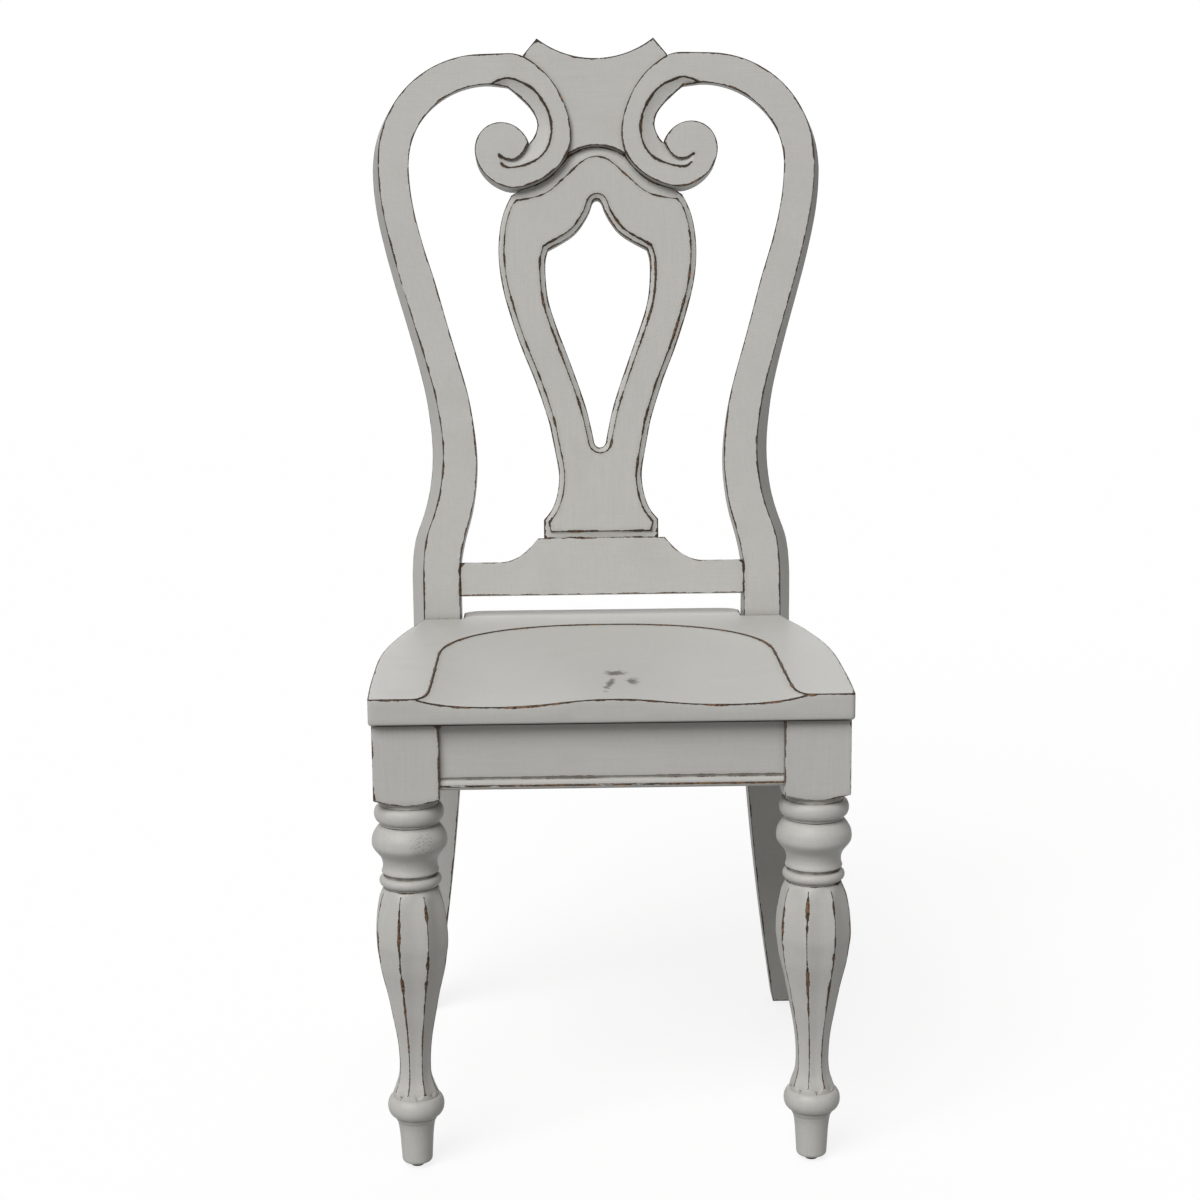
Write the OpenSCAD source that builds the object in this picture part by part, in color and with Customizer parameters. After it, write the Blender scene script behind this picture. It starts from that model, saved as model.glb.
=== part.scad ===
// Splat back side chair: saddle seat on turned and fluted front legs, swept back posts,
// a looped crest rail with carved scrolls, and a pierced splat.
// Front faces -Y, X runs across the seat, the origin is on the floor under the middle.

/* [Seat] */
// Width of the seat along its front edge
seat_w = 458; // [420:1:500]
// Depth of the seat from front edge to rear edge
seat_d = 459; // [445:1:475]
// Height of the seat's top above the floor
seat_h = 479; // [440:1:520]
// Thickness of the seat at its edge
seat_t = 26; // [22:1:32]
// Depth of the scoop below the seat's top
scoop_depth = 10.5; // [6:0.5:13]
// Half width of the scoop
scoop_half_w = 172; // [150:1:185]
// Distance from the rear end of the scoop to the seat's rear edge
scoop_rim = 91; // [75:1:110]
// Radius of the seat's rear corners
seat_corner_r = 20; // [10:1:28]
// Rounding of the seat's lower edge
seat_edge = 3.5; // [1:0.5:6]

/* [Back] */
// Width across the fronts of the two loops
back_w = 492; // [470:1:520]
// Rise of the ears' tips above the loops
ear_rise = 18.5; // [8:0.5:30]
// Angle at which the back leans
back_rake = 12; // [8:0.5:15]
// Thickness of the back at its loops
back_t = 27; // [24:1:32]
// Width of a back post at the seat
post_w = 41; // [36:1:46]
// Depth of a back post at the seat
post_d = 44; // [38:1:50]
// Width of the loops' band
loop_band = 34.5; // [30:0.5:38]
// Height up the slope of the loops' middle, where crest rail and posts meet
loop_h = 512; // [495:1:525]
// Distance of each loop's middle from the chair's middle
loop_x = 120.5; // [115:0.5:125]
// How far the posts' outer faces flare to the rear
post_flare = 14.5; // [6:0.5:18]
// How far the loops' inner faces widen to the rear
loop_taper = 5; // [0:0.5:6]
// Distance from the posts' fronts to the seat's rear edge
tongue_d = 48; // [40:1:55]
// How far back the rear feet stand from the posts' fronts
rear_rake = 55; // [20:1:70]
// How far the rear feet splay outwards
rear_splay = 41; // [10:1:50]
// Width and depth of a rear foot
rear_foot = 34; // [30:1:40]

/* [Crest rail] */
// Largest radius of a scroll, from its eye to the loop's top
scroll_r = 105; // [102:0.5:108]
// Distance of a scroll's eye from the chair's middle
eye_x = 107; // [105:0.5:110]
// Rise of a scroll's eye above the loops' middle
eye_rise = 22; // [19:0.5:25]
// How far the panel lies behind the loops' fronts
panel_recess = 5; // [3:0.5:7]
// Depth of the cove carved into a scroll
cove_depth = 5; // [2:0.5:8]
// Distance of an ear's tip from the chair's middle
ear_x = 66; // [56:1:74]
// Depth of the hollow between the ears
ear_hollow = 23; // [12:1:32]
// Rise of the arch over the splat above the loops' middle
arch_rise = 22; // [19:0.5:26]

/* [Splat] */
// Half width of the splat at its widest
splat_half_w = 112; // [100:1:118]
// Thickness of the splat
splat_t = 15; // [12:0.5:16]
// How far the splat's front lies behind the posts' fronts
splat_recess = 9; // [8:0.5:10]
// Width of the sunk ledge along the splat's edges
ledge_w = 6; // [4:0.5:8]
// Depth of the sunk ledge
ledge_t = 3; // [1.5:0.5:4]
// Half width of the splat's opening
opening_half_w = 59; // [50:1:64]

/* [Lower back rail] */
// Height up the slope of the rail's underside
low_rail_h = 26.5; // [20:0.5:32]
// Height of the rail at its ends
low_rail_w = 37; // [32:1:42]
// Rise of the rail's raised middle
low_rail_rise = 26.5; // [20:0.5:30]
// Half width of the raised middle
low_rail_half_w = 71; // [66:1:76]
// Thickness of the rail
low_rail_t = 22; // [20:0.5:25]
// How far the rail's front lies behind the posts' fronts
low_rail_recess = 2; // [1:0.5:4]

/* [Front legs] */
// Width of the square block
block_w = 63; // [58:0.5:68]
// Height of the square block
block_h = 76; // [70:1:84]
// Radius of the leg at its widest
leg_r = 38.2; // [34:0.2:41]
// Number of flutes round the leg
flutes = 8; // [6:1:12]
// Depth of a flute at the widest place
flute_depth = 4.2; // [2:0.2:6]
// Overhang of the seat in front of the blocks
front_overhang = 8; // [4:0.5:14]
// Overhang of the seat at its sides
side_overhang = 2.5; // [1:0.5:8]

/* [Rails] */
// Height of the seat rails
rail_h = 66; // [60:1:72]
// Thickness of the seat rails
rail_t = 22; // [18:1:24]
// How far the front and side rails lie behind the blocks' faces
rail_recess = 6; // [3:0.5:9]
// Height of the bead along the rails' lower edge
bead_h = 10; // [6:0.5:12]
// How far the bead stands out
bead_out = 3.5; // [2:0.5:5]
// Width of the groove above the bead
groove_w = 2.5; // [1.5:0.5:4]
// How far the rear rail lies behind the posts' fronts
rear_rail_set = 8; // [4:0.5:14]

/* [Joinery] */
// Radius of a dowel
dowel_r = 4; // [3:0.5:5]
// Length of a dowel in each of the two pieces
dowel_in = 16; // [12:1:18]
// Thickness of a corner block
corner_t = 24; // [20:1:30]
// Reach of a corner block along a rail
corner_reach = 55; // [50:1:65]
// Radius of a hanger bolt
bolt_r = 3; // [2.5:0.5:4]
// Length of a hanger bolt inside the leg
bolt_in = 30; // [20:1:34]
// Radius of a washer
washer_r = 9; // [7:0.5:10]
// Thickness of a washer
washer_t = 1.6; // [1:0.1:2]
// Distance from the nut's middle to its corners
nut_r = 5.8; // [5.2:0.1:7]
// Thickness of a nut
nut_t = 5; // [4:0.5:6.5]
// Length of a hanger bolt past its nut
bolt_past = 3; // [1:0.5:6]
// Radius of a screw's shank
screw_r = 2.1; // [1.8:0.1:2.5]
// Radius of a screw's head
head_r = 4; // [3.6:0.1:4.4]
// Height of a screw's head
head_t = 3; // [2:0.5:4]
// Length of a screw in the piece that it holds
screw_in = 15; // [12:1:17]
// Thickness of the corner block under a screw's head
screw_grip = 12; // [10:1:13]
// Radius of a glide
glide_r = 7; // [6:0.5:10]
// Thickness of a glide
glide_t = 4; // [3:0.5:6]
// Radius of a glide's nail
nail_r = 1.4; // [1:0.1:2]
// Length of a glide's nail
nail_in = 14; // [10:1:20]

/* [Hidden] */

// Gap left for glue where two pieces of wood meet
joint_gap = 0.2;
// Gap round a dowel, bolt, screw or nail in its hole
hole_gap = 0.1;
// Gap round a bolt where it passes through a corner block
bolt_play = 0.4;
// Gap between the seat's rear tongue and the posts
tongue_gap = 2.5;
// How far a cut runs past the face that it opens
over = 2;
// Rounding of the seat's front corners
seat_front_r = 4;
// Rounding of the seat's upper edge
seat_top_edge = 1.2;
// Radius of the bend from the upright post to the leaning back
knee_r = 200;
// How far the loops' outer line swells between its top and its side
loop_swell = 3;
// Width and height of the corner between an ear's tip and the loop
ear_side_w = 15.5;
ear_side_h = 19;
// Half width and drop of the arch over the splat
arch_half_w = 31;
arch_drop = 10;
// Where the panel ends behind a scroll: angle round the eye and share of scroll_r
panel_end_angle = 188;
panel_end_share = 0.6;
// Splat: height of the opening's ends, the base's corner and the raised face's foot
opening_top_share = 0.8877;
opening_foot_share = 0.3596;
opening_foot_step = 0.001;
base_half_w = 64.3;
base_corner_h = 21;
face_foot = 7.5;
// Step at the raised face's edge, and how much narrower the face is than the splat's head
face_step = 0.8;
face_head_share = 0.94;
// Flat between face and opening: half width and share of the rise of the line along its middle
middle_half_w = 34;
middle_share = 0.2;
// Tenons at the splat's ends
tenon_t = 8;
tenon_in = 15;
top_tenon_half_w = 30;
foot_tenon_half_w = 45;
// Places round a flute, and how far the left leg stands turned in its joints
flute_parts = 4;
left_turn = 7;
// Turned shoulder: how far its middle reaches below the block
shoulder_drop = 2;
// Turning: radius under the block and over the vase
neck_share = 0.72;
neck_end_share = 0.985;
collar_share = 0.742;
collar_end_share = 0.732;
ankle_top_share = 0.192;
vase_top_share = 0.68;
// Distance of the crest dowels from the band's middle
crest_dowel_x = 8;
// Distance of the rail dowels from the rails' middle height
rail_dowel_z = 16;
low_rail_dowel_s = 9;
// Distance of the corner block's screws from leg or post
front_screw_out = 32;
rear_screw_out = 28;
rear_side_screw_out = 38;
// Place of the seat screws behind or before leg and post
seat_screw_x = 21;
seat_screw_y = 14;
rear_seat_screw_x = 2;
rear_seat_screw_y = 16;

// Finishes
paint = [0.73, 0.73, 0.71];
bare_wood = [0.80, 0.66, 0.46];
steel = [0.62, 0.63, 0.65];
glide_plastic = [0.16, 0.15, 0.14];

// Posts: [way up, outer edge, band width, flare, depth] as shares of the straight length,
// the loops' half width, the step from loop_band to post_w, post_flare, and back_t to post_d
post_shares = [
    [0, 0.811, 1, 1, 0.75], [0.037, 0.810, 0.90, 1, 0.62], [0.101, 0.798, 1.30, 0.98, 0.42],
    [0.154, 0.763, 1.08, 0.96, 0.27], [0.208, 0.734, 0.75, 0.94, 0.14],
    [0.272, 0.7175, 0.53, 0.92, 0.05], [0.335, 0.7166, 0.35, 0.90, 0],
    [0.399, 0.733, 0.40, 0.83, 0], [0.463, 0.757, 0.38, 0.75, 0],
    [0.548, 0.803, 0.35, 0.65, 0], [0.634, 0.852, 0.42, 0.60, 0],
    [0.719, 0.900, 0.58, 0.58, 0], [0.804, 0.944, 0.28, 0.57, 0],
    [0.889, 0.980, 0.10, 0.56, 0], [0.953, 0.996, 0.02, 0.55, 0], [1, 1, 0, 0.55, 0]];
foot_flare_share = 0.3;
top_flare_share = 0.55;
taper_start_share = 0.3;
// Bend of the rear legs: power of the curve
leg_bend = 1.5;
// Seat's side: [share of the way back, share of the step from front corner to post]
seat_side_shares = [[0.01, 0], [0.146, -0.078], [0.293, -0.119], [0.44, -0.136],
    [0.573, -0.051], [0.695, 0.153], [0.817, 0.441], [0.915, 0.746], [1, 1]];
// Scroll: [angle round the eye, share of scroll_r] of its outer edge, of its arm's inner
// edge, and of the carved cove's two edges
scroll_shares = [[96, 0.998], [104, 0.992], [114, 0.946], [126, 0.896], [146, 0.818], [168, 0.765],
    [182, 0.732], [192, 0.695], [204, 0.640], [220, 0.575], [236, 0.524], [256, 0.482],
    [272, 0.434], [294, 0.376], [324, 0.322], [360, 0.286], [405, 0.262], [450, 0.250],
    [500, 0.262], [536, 0.297]];
arm_shares = [[96, 0.632], [104, 0.588], [112, 0.554], [126, 0.516], [138, 0.486],
    [150, 0.447], [160, 0.394], [176, 0.297]];
cove_shares = [[78, 0.655, 0.64], [86, 0.69, 0.64], [92, 0.714, 0.635], [97, 0.728, 0.62],
    [108, 0.712, 0.56], [120, 0.694, 0.52], [132, 0.655, 0.49],
    [144, 0.621, 0.45], [156, 0.588, 0.40], [168, 0.550, 0.33], [178, 0.518, 0.285],
    [190, 0.472, 0.262], [202, 0.418, 0.245], [214, 0.356, 0.231], [228, 0.310, 0.212],
    [242, 0.276, 0.184], [256, 0.250, 0.158], [270, 0.205, 0.130], [284, 0.150, 0.112]];
// Splat's side above its base: [share of the half width, share of the arch's height]
splat_shares = [[0.518, 0.2211], [0.473, 0.2371], [0.437, 0.2604], [0.418, 0.2862], [0.417, 0.3096],
    [0.442, 0.3427], [0.482, 0.3857], [0.522, 0.425], [0.643, 0.5024], [0.732, 0.5491],
    [0.811, 0.5933], [0.911, 0.6597], [0.976, 0.7174], [1, 0.7727], [0.985, 0.8218],
    [0.937, 0.8648], [0.862, 0.8968]];
// Opening's side: [share of the way from its foot to its top, share of the half width]
opening_shares = [[0, 0], [0.0021, 0.044], [0.0092, 0.085], [0.0206, 0.112], [0.039, 0.127],
    [0.1, 0.188], [0.177, 0.278], [0.318, 0.508],
    [0.420, 0.686], [0.514, 0.847], [0.599, 0.963], [0.681, 1], [0.748, 1.005], [0.785, 0.975],
    [0.803, 0.930], [0.815, 0.840], [0.828, 0.660], [0.871, 0.390], [0.922, 0.220],
    [0.957, 0.135], [0.977, 0.105], [0.991, 0.075], [0.998, 0.04], [1, 0]];
// Upper edge of the splat's raised face: [share of the half width, share of the arch's height]
face_head_shares = [[0, 0.9791], [0.089, 0.9754], [0.191, 0.9607], [0.27, 0.9441], [0.359, 0.9275],
    [0.43, 0.9127], [0.502, 0.9017], [0.59, 0.8943], [0.684, 0.89], [0.82, 0.886], [1, 0.886]];
// Fluted vase: [share of the height to the block, share of leg_r, share of flute_depth]
vase_shares = [[0.7453, 0.74, 0], [0.7322, 0.77, 0.05], [0.713, 0.822, 0.45], [0.6766, 0.926, 0.9],
    [0.6432, 0.967, 1], [0.6109, 0.967, 1], [0.5785, 0.926, 0.98], [0.5442, 0.876, 0.92],
    [0.5118, 0.803, 0.85], [0.4795, 0.724, 0.76], [0.4481, 0.66, 0.68], [0.4128, 0.595, 0.6],
    [0.3784, 0.529, 0.52], [0.3461, 0.476, 0.46], [0.3107, 0.44, 0.42], [0.2783, 0.425, 0.4],
    [0.2521, 0.432, 0.36], [0.2308, 0.464, 0.26], [0.2147, 0.518, 0.1], [0.2015, 0.56, 0],
    [0.1813, 0.6, 0]];
// Beads of the turning: [share of the height to a bead's top, to its foot, share of leg_r at
// its root, at its crest]
neck_beads_shares = [[0.9707, 0.9232, 0.694, 0.869], [0.9161, 0.8201, 0.69, 0.937],
    [0.7776, 0.7504, 0.67, 0.775]];
ankle_bead_shares = [0.1874, 0.1308, 0.54, 0.725];
flare_shares = [[0.8039, 0.686], [0.7948, 0.7], [0.7898, 0.716], [0.7867, 0.64], [0.7797, 0.64]];
foot_shares = [[0.1267, 0.532], [0.1207, 0.522], [0.1156, 0.488], [0.1075, 0.471], [0.0954, 0.45],
    [0.0722, 0.427], [0.0449, 0.411], [0.0196, 0.396], [0.0075, 0.387], [0.0024, 0.348],
    [0.0001, 0.28]];

// Places worked out from the sizes above
back_len = loop_h + back_w / 2 - loop_x + ear_rise;
post_y = seat_d - tongue_d;
scoop_d = seat_d - scoop_rim;
eye_h = loop_h + eye_rise;
arch_h = loop_h + arch_rise;
seat_under = seat_h - seat_t;
front_half = seat_w / 2;
loop_half = back_w / 2;
loop_out_r = loop_half - loop_x;
loop_in_r = loop_out_r - loop_band;
post_out = loop_half * post_shares[0][1];
post_in = post_out - post_w;
leg_x = front_half - side_overhang - block_w / 2;
leg_y = front_overhang + block_w / 2;
block_under = seat_under - block_h;
rail_under = seat_under - rail_h;
back_y = post_y + knee_r * (1 - 1 / cos(back_rake));
straight_from = knee_r * tan(back_rake);
rail_front_y = front_overhang + rail_recess;
rail_back_y = rail_front_y + rail_t;
block_in_x = leg_x - block_w / 2;
block_back_y = leg_y + block_w / 2;
side_front_x = leg_x + block_w / 2 - rail_recess;
side_back_x = post_out - rail_recess;
side_angle = atan((side_front_x - side_back_x) / (post_y - block_back_y));
rear_rail_y = post_y + rear_rail_set;
corner_under = seat_under - corner_t;
corner_z = seat_under - corner_t / 2;
splat_foot = low_rail_h + low_rail_w + low_rail_rise;
// The whole depth runs from the seat's front edge to the back of the ears' tips
whole_depth = back_y + back_len * sin(back_rake) + back_t * cos(back_rake);

// Smooth curve through points, with n steps between neighbours
function blend(a, b, c, d, t) = 0.5 * (2 * b + (c - a) * t + (2 * a - 5 * b + 4 * c - d) * t * t
    + (3 * b - a - 3 * c + d) * t * t * t);
function smooth(p, n) = [for (i = [0:len(p) - 2]) for (k = [0:n - 1])
    blend(p[max(i - 1, 0)], p[i], p[i + 1], p[min(i + 2, len(p) - 1)], k / n), p[len(p) - 1]];
function turned(p) = [for (i = [len(p) - 1:-1:0]) p[i]];
function mirrored(p) = [for (q = turned(p)) [-q[0], q[1]]];
function around(eye, a, r) = eye + r * [cos(a), sin(a)];
function unit(v) = v / norm(v);
// Closed outline moved outwards by d, or one of its points moved inwards; counterclockwise
function side_of(p, i) = unit(p[(i + 1) % len(p)] - p[i]);
function outward(p, i) = let (a = side_of(p, (i + len(p) - 1) % len(p)), b = side_of(p, i),
        na = [a[1], -a[0]], nb = [b[1], -b[0]])
    (na + nb) / max(1 + na * nb, 0.35);
function grown(p, d) = [for (i = [0:len(p) - 1]) p[i] + d * outward(p, i)];
function inset_point(p, i, d) = p[i] - d * outward(p, i);
// Side inner face of a side rail at a given distance from the seat's front edge
function side_in(y) = side_front_x - rail_t / cos(side_angle)
    - (y - block_back_y) * tan(side_angle);

function lifted(p, z) = [for (q = p) [q[0], q[1], z]];
// Solid through rings of points, counterclockwise as seen from the last ring; both ends are
// closed, or the last ring joins the first round a hole; parts are the first end's flat parts,
// and the last end's too where both is true
module through(rings, hole = false, parts = [], both = false) {
    m = len(rings[0]);
    n = len(rings);
    walls = [for (r = [0:hole ? n - 1 : n - 2]) for (k = [0:m - 1])
        let (a = r * m + k, b = r * m + (k + 1) % m, c = ((r + 1) % n) * m)
        each [[a, c + (k + 1) % m, b], [a, c + k, c + (k + 1) % m]]];
    first = len(parts) > 0 ? parts : [[for (k = [0:m - 1]) k]];
    last = both ? [for (f = parts) [for (k = [0:len(f) - 1]) (n - 1) * m + f[(len(f) - k) % len(f)]]]
        : [[for (k = [m - 1:-1:0]) (n - 1) * m + k]];
    ends = concat(first, last);
    polyhedron([for (r = rings) each r], hole ? walls : concat(walls, ends));
}

// Everything stands behind the seat's front edge until here, which centres it on the origin
module placed() {
    translate([0, -whole_depth / 2, 0]) children();
}

// Frame of the leaning back: x across, y up the slope, z out of the posts' fronts
module leaning() {
    translate([0, back_y, seat_h]) rotate([90 - back_rake, 0, 0]) children();
}

module both_sides() {
    children();
    mirror([1, 0, 0]) children();
}

// Seat: sections across it, one behind the other, from the front edge to the rear edge
seat_side = smooth([for (q = seat_side_shares)
    [q[0] * (post_y - joint_gap), front_half + (post_out - front_half) * q[1]]], 2);
tongue_x = post_in - tongue_gap;
// Drop of a quarter round of radius r at a distance d from its edge
function eased(r, d) = d < r ? r - sqrt(r * r - (r - d) * (r - d)) : 0;
function seat_half(y) = (y < post_y ? lookup(y, seat_side) : tongue_x + over)
    - eased(seat_front_r, y) - eased(seat_corner_r, seat_d - y);
scoop_mid = scoop_d * 0.555;
function scoop_back(y) = (y - scoop_mid) / (scoop_d - scoop_mid);
function scoop_half(y) = y > scoop_mid
    ? scoop_half_w * pow(max(1 - pow(scoop_back(y), 2.3), 0.003), 1 / 2.3)
    : scoop_half_w * (1 + 0.062 * exp(-y / (scoop_d * 0.032)));
function scoop_fall(y) = y > scoop_mid ? 1 - pow(scoop_back(y), 2.6)
    : 0.84 + 0.16 * sin(90 * y / scoop_mid);
// Depth of the scoop at distance y from the front edge and at a share u of its half width
function scoop_at(y, u) = y < scoop_d ? scoop_depth * (0.09 + 0.91 * scoop_fall(y)
    * (1 - pow(abs(u), 4.5 + 3 * exp(-y / (scoop_d * 0.16))))
    * (1 - 0.82 * exp(-pow(abs(u) / 0.34, 2.4)) * exp(-pow(y / (scoop_d * 0.36), 2)))) : 0;
scoop_shares = [1, 0.99, 0.965, 0.93, 0.88, 0.81, 0.72, 0.61, 0.50, 0.39, 0.28, 0.17, 0.06];
scoop_lip = 0.6;
function seat_section(y) = let (w = seat_half(y), b = scoop_half(y),
        under = seat_under + eased(seat_edge, y) + eased(seat_edge, seat_d - y),
        top = seat_h - eased(seat_top_edge, y) - eased(seat_top_edge, seat_d - y))
    concat([[w - seat_edge, under], [w - seat_edge * 0.3, under + seat_edge * 0.3],
        [w, under + seat_edge], [w, top - seat_top_edge], [w - seat_top_edge, top],
        [b + scoop_lip, top]],
        [for (u = scoop_shares) [b * u, top - scoop_at(y, u)]]);
seat_stations = concat([0, seat_edge * 0.1, seat_edge * 0.3, seat_edge * 0.6, seat_edge],
    [for (q = [0.03, 0.07, 0.12, 0.18, 0.245, 0.32, 0.395, 0.46, 0.53, 0.6, 0.66, 0.72, 0.775,
        0.825, 0.87, 0.91, 0.945, 0.973, 0.991, 0.9995, 1.03]) q * scoop_d],
    [post_y - joint_gap, seat_d - seat_corner_r * 0.8, seat_d - seat_corner_r * 0.5,
        seat_d - seat_corner_r * 0.29, seat_d - seat_edge, seat_d - seat_edge * 0.6,
        seat_d - seat_edge * 0.3, seat_d - seat_edge * 0.1, seat_d]);
// The seat's front end in flat parts: its two sides, the strip between them and the scoop's hump
seat_count = 2 * len(seat_section(0));
hump_from = seat_count / 2 - 4;
hump_to = seat_count - 1 - hump_from;
front_end = [[for (k = [0:hump_from]) k], concat([seat_count - 1], [for (k = [hump_to:seat_count - 2]) k]),
    [0, hump_from, hump_to, seat_count - 1], [for (k = [hump_from:hump_to]) k]];
seat_rings = [for (y = seat_stations) let (right = seat_section(y)) concat(
    [for (q = right) [q[0], y, q[1]]],
    [for (q = turned(right)) [-q[0], y, q[1]]])];

module seat() {
    color(paint) placed() difference() {
        through([for (r = seat_rings) turned(r)], false, front_end);
        both_sides() translate([tongue_x, post_y - joint_gap, seat_under - over])
            cube([front_half, front_half, seat_t + 2 * over]);
        seat_screw_places() screw_hole();
    }
}

// Front legs
function leg_z(q) = glide_t + q * (block_under - glide_t);
function bead(b, n) = let (top = leg_z(b[0]), foot = leg_z(b[1]),
        root = b[2] * leg_r, crest = b[3] * leg_r)
    [for (i = [0:n]) let (a = 180 * i / n)
        [root + (crest - root) * sin(a), (top + foot) / 2 + (top - foot) / 2 * cos(a)]];
function on_leg(p) = [for (q = p) [q[1] * leg_r, leg_z(q[0])]];
neck_profile = concat(
    [[0, block_under + over], [leg_r * neck_share, block_under + over],
        [leg_r * neck_share, leg_z(neck_end_share)]],
    bead(neck_beads_shares[0], 10), bead(neck_beads_shares[1], 14), on_leg(flare_shares),
    bead(neck_beads_shares[2], 10),
    [[leg_r * vase_top_share, leg_z(collar_share)], [leg_r * vase_top_share, leg_z(collar_end_share)],
        [0, leg_z(collar_end_share)]]);
ankle_profile = concat([[0, leg_z(ankle_top_share)], [leg_r * ankle_bead_shares[2], leg_z(ankle_top_share)]],
    bead(ankle_bead_shares, 10), on_leg(foot_shares), [[0, glide_t]]);
vase_rings = [for (q = smooth(vase_shares, 2))
    let (z = leg_z(q[0]), r = q[1] * leg_r, d = max(q[2], 0) * flute_depth)
    [for (k = [0:flutes * flute_parts - 1])
        let (a = 360 * (k + flute_parts / 2) / (flutes * flute_parts) - 90,
            in = d * sin(180 * (k % flute_parts) / flute_parts))
        [(r - in) * cos(a), (r - in) * sin(a), z]]];
// Turned shoulder that rounds the block's lower corners
shoulder_r = block_w * 0.5;
shoulder_h = block_h * 0.09;
shoulder_profile = concat([[0, 0], [shoulder_r * 0.97, 0]],
    [for (a = [10:20:90]) [shoulder_r + shoulder_r * 0.42 * (1 - cos(a)), shoulder_h * sin(a)]],
    [[shoulder_r * 1.5, shoulder_h], [shoulder_r * 1.5, block_h + shoulder_drop],
        [0, block_h + shoulder_drop]]);

module front_leg(turn) {
    difference() {
        union() {
            intersection() {
                translate([-block_w / 2, -block_w / 2, block_under - shoulder_drop])
                    cube([block_w, block_w, block_h + shoulder_drop]);
                translate([0, 0, block_under - shoulder_drop])
                    rotate_extrude($fn = 72) polygon(shoulder_profile);
            }
            rotate_extrude($fn = 72) polygon(neck_profile);
            rotate([0, 0, turn]) through(turned(vase_rings));
            rotate_extrude($fn = 72) polygon(ankle_profile);
        }
        cylinder(r = nail_r + hole_gap, h = glide_t + nail_in + hole_gap, $fn = 24);
        translate([-leg_x, -leg_y, 0]) {
            front_dowel_places() dowel_hole();
            side_dowel_places() dowel_hole();
            bolt_place() cylinder(r = bolt_r + hole_gap, h = bolt_in + hole_gap, $fn = 24);
        }
    }
}

module left_front_leg() {
    color(paint) placed() mirror([1, 0, 0]) translate([leg_x, leg_y, 0]) front_leg(-left_turn);
}

module right_front_leg() {
    color(paint) placed() translate([leg_x, leg_y, 0]) front_leg(0);
}

// Back posts: each station is [inner x, outer x, flare, depth, front y, front z, lean, taper]
post_low = [for (i = [0:8]) let (z = glide_t + (rail_under - glide_t) * i / 8,
        f = pow(1 - z / rail_under, leg_bend), w = post_w + (rear_foot - post_w) * f,
        x = post_in + rear_splay * f)
    [x, x + w, post_flare * (1 + (foot_flare_share - 1) * f), post_d + (rear_foot - post_d) * f,
        post_y + rear_rake * f, z, 0, 0]];
post_knee = [for (i = [0:3]) let (a = back_rake * i / 4)
    [post_in, post_out, post_flare, post_d + (back_t - post_d) * 0.25 * i / 4,
        post_y + knee_r * (1 - cos(a)), seat_h + knee_r * sin(a), a, 0]];
post_high = [for (q = smooth(post_shares, 2)) let (
        s = straight_from + (loop_h - joint_gap - straight_from) * q[0], x = loop_half * q[1])
    [x - loop_band - (post_w - loop_band) * q[2], x, post_flare * q[3],
        back_t + (post_d - back_t) * q[4],
        back_y + s * sin(back_rake), seat_h + s * cos(back_rake), back_rake,
        loop_taper * max((q[0] - taper_start_share) / (1 - taper_start_share), 0)]];
post_rings = [for (q = concat(post_low, post_knee, post_high))
    let (y = q[4] + q[3] * cos(q[6]), z = q[5] - q[3] * sin(q[6]))
    [[q[0], q[4], q[5]], [q[1], q[4], q[5]], [q[1] + q[2], y, z], [q[0] + q[7], y, z]]];
rear_foot_x = post_in + rear_splay + rear_foot / 2;
rear_foot_y = post_y + rear_rake + rear_foot / 2;

module back_post() {
    difference() {
        through(post_rings);
        side_dowel_places() dowel_hole();
        rear_dowel_places() dowel_hole();
        leaning() {
            low_dowel_places() dowel_hole();
            crest_dowel_places() dowel_hole();
        }
        translate([rear_foot_x, rear_foot_y, 0])
            cylinder(r = nail_r + hole_gap, h = glide_t + nail_in + hole_gap, $fn = 24);
    }
}

module left_back_post() {
    color(paint) placed() mirror([1, 0, 0]) back_post();
}

module right_back_post() {
    color(paint) placed() back_post();
}

// Crest rail
loop_mid = [loop_x, loop_h];
eye = [eye_x, eye_h];
loop_angles = [0:7.5:90];
loop_outer = [for (a = loop_angles) around(loop_mid, a, loop_out_r + loop_swell * sin(2 * a))];
loop_inner = [for (a = loop_angles) around(loop_mid, a, loop_in_r)];
scroll_outer = [for (q = smooth(scroll_shares, 2)) around(eye, q[0], q[1] * scroll_r)];
arm_path = smooth(arm_shares, 2);
arm_inner = [for (i = [len(arm_path) - 2:-1:0]) let (q = arm_path[i]) around(eye, q[0], q[1] * scroll_r)];
scroll_outline = concat(loop_outer, scroll_outer, arm_inner, turned(loop_inner));
// The loops' outer faces flare to the rear and the flare dies away over the top; their inner
// faces widen to the rear, and so does the arm's until its end
rear_outline = concat(
    [for (a = loop_angles) around(loop_mid, a, loop_out_r + loop_swell * sin(2 * a)
        + post_flare * top_flare_share * (1 - a / 90))],
    scroll_outer,
    [for (i = [len(arm_path) - 2:-1:0]) let (q = arm_path[i], t = i / (len(arm_path) - 1))
        around(eye, q[0], q[1] * scroll_r + loop_taper * (1 - t))],
    [for (a = turned([for (b = loop_angles) b])) around(loop_mid, a, loop_in_r + loop_taper)]);
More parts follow.
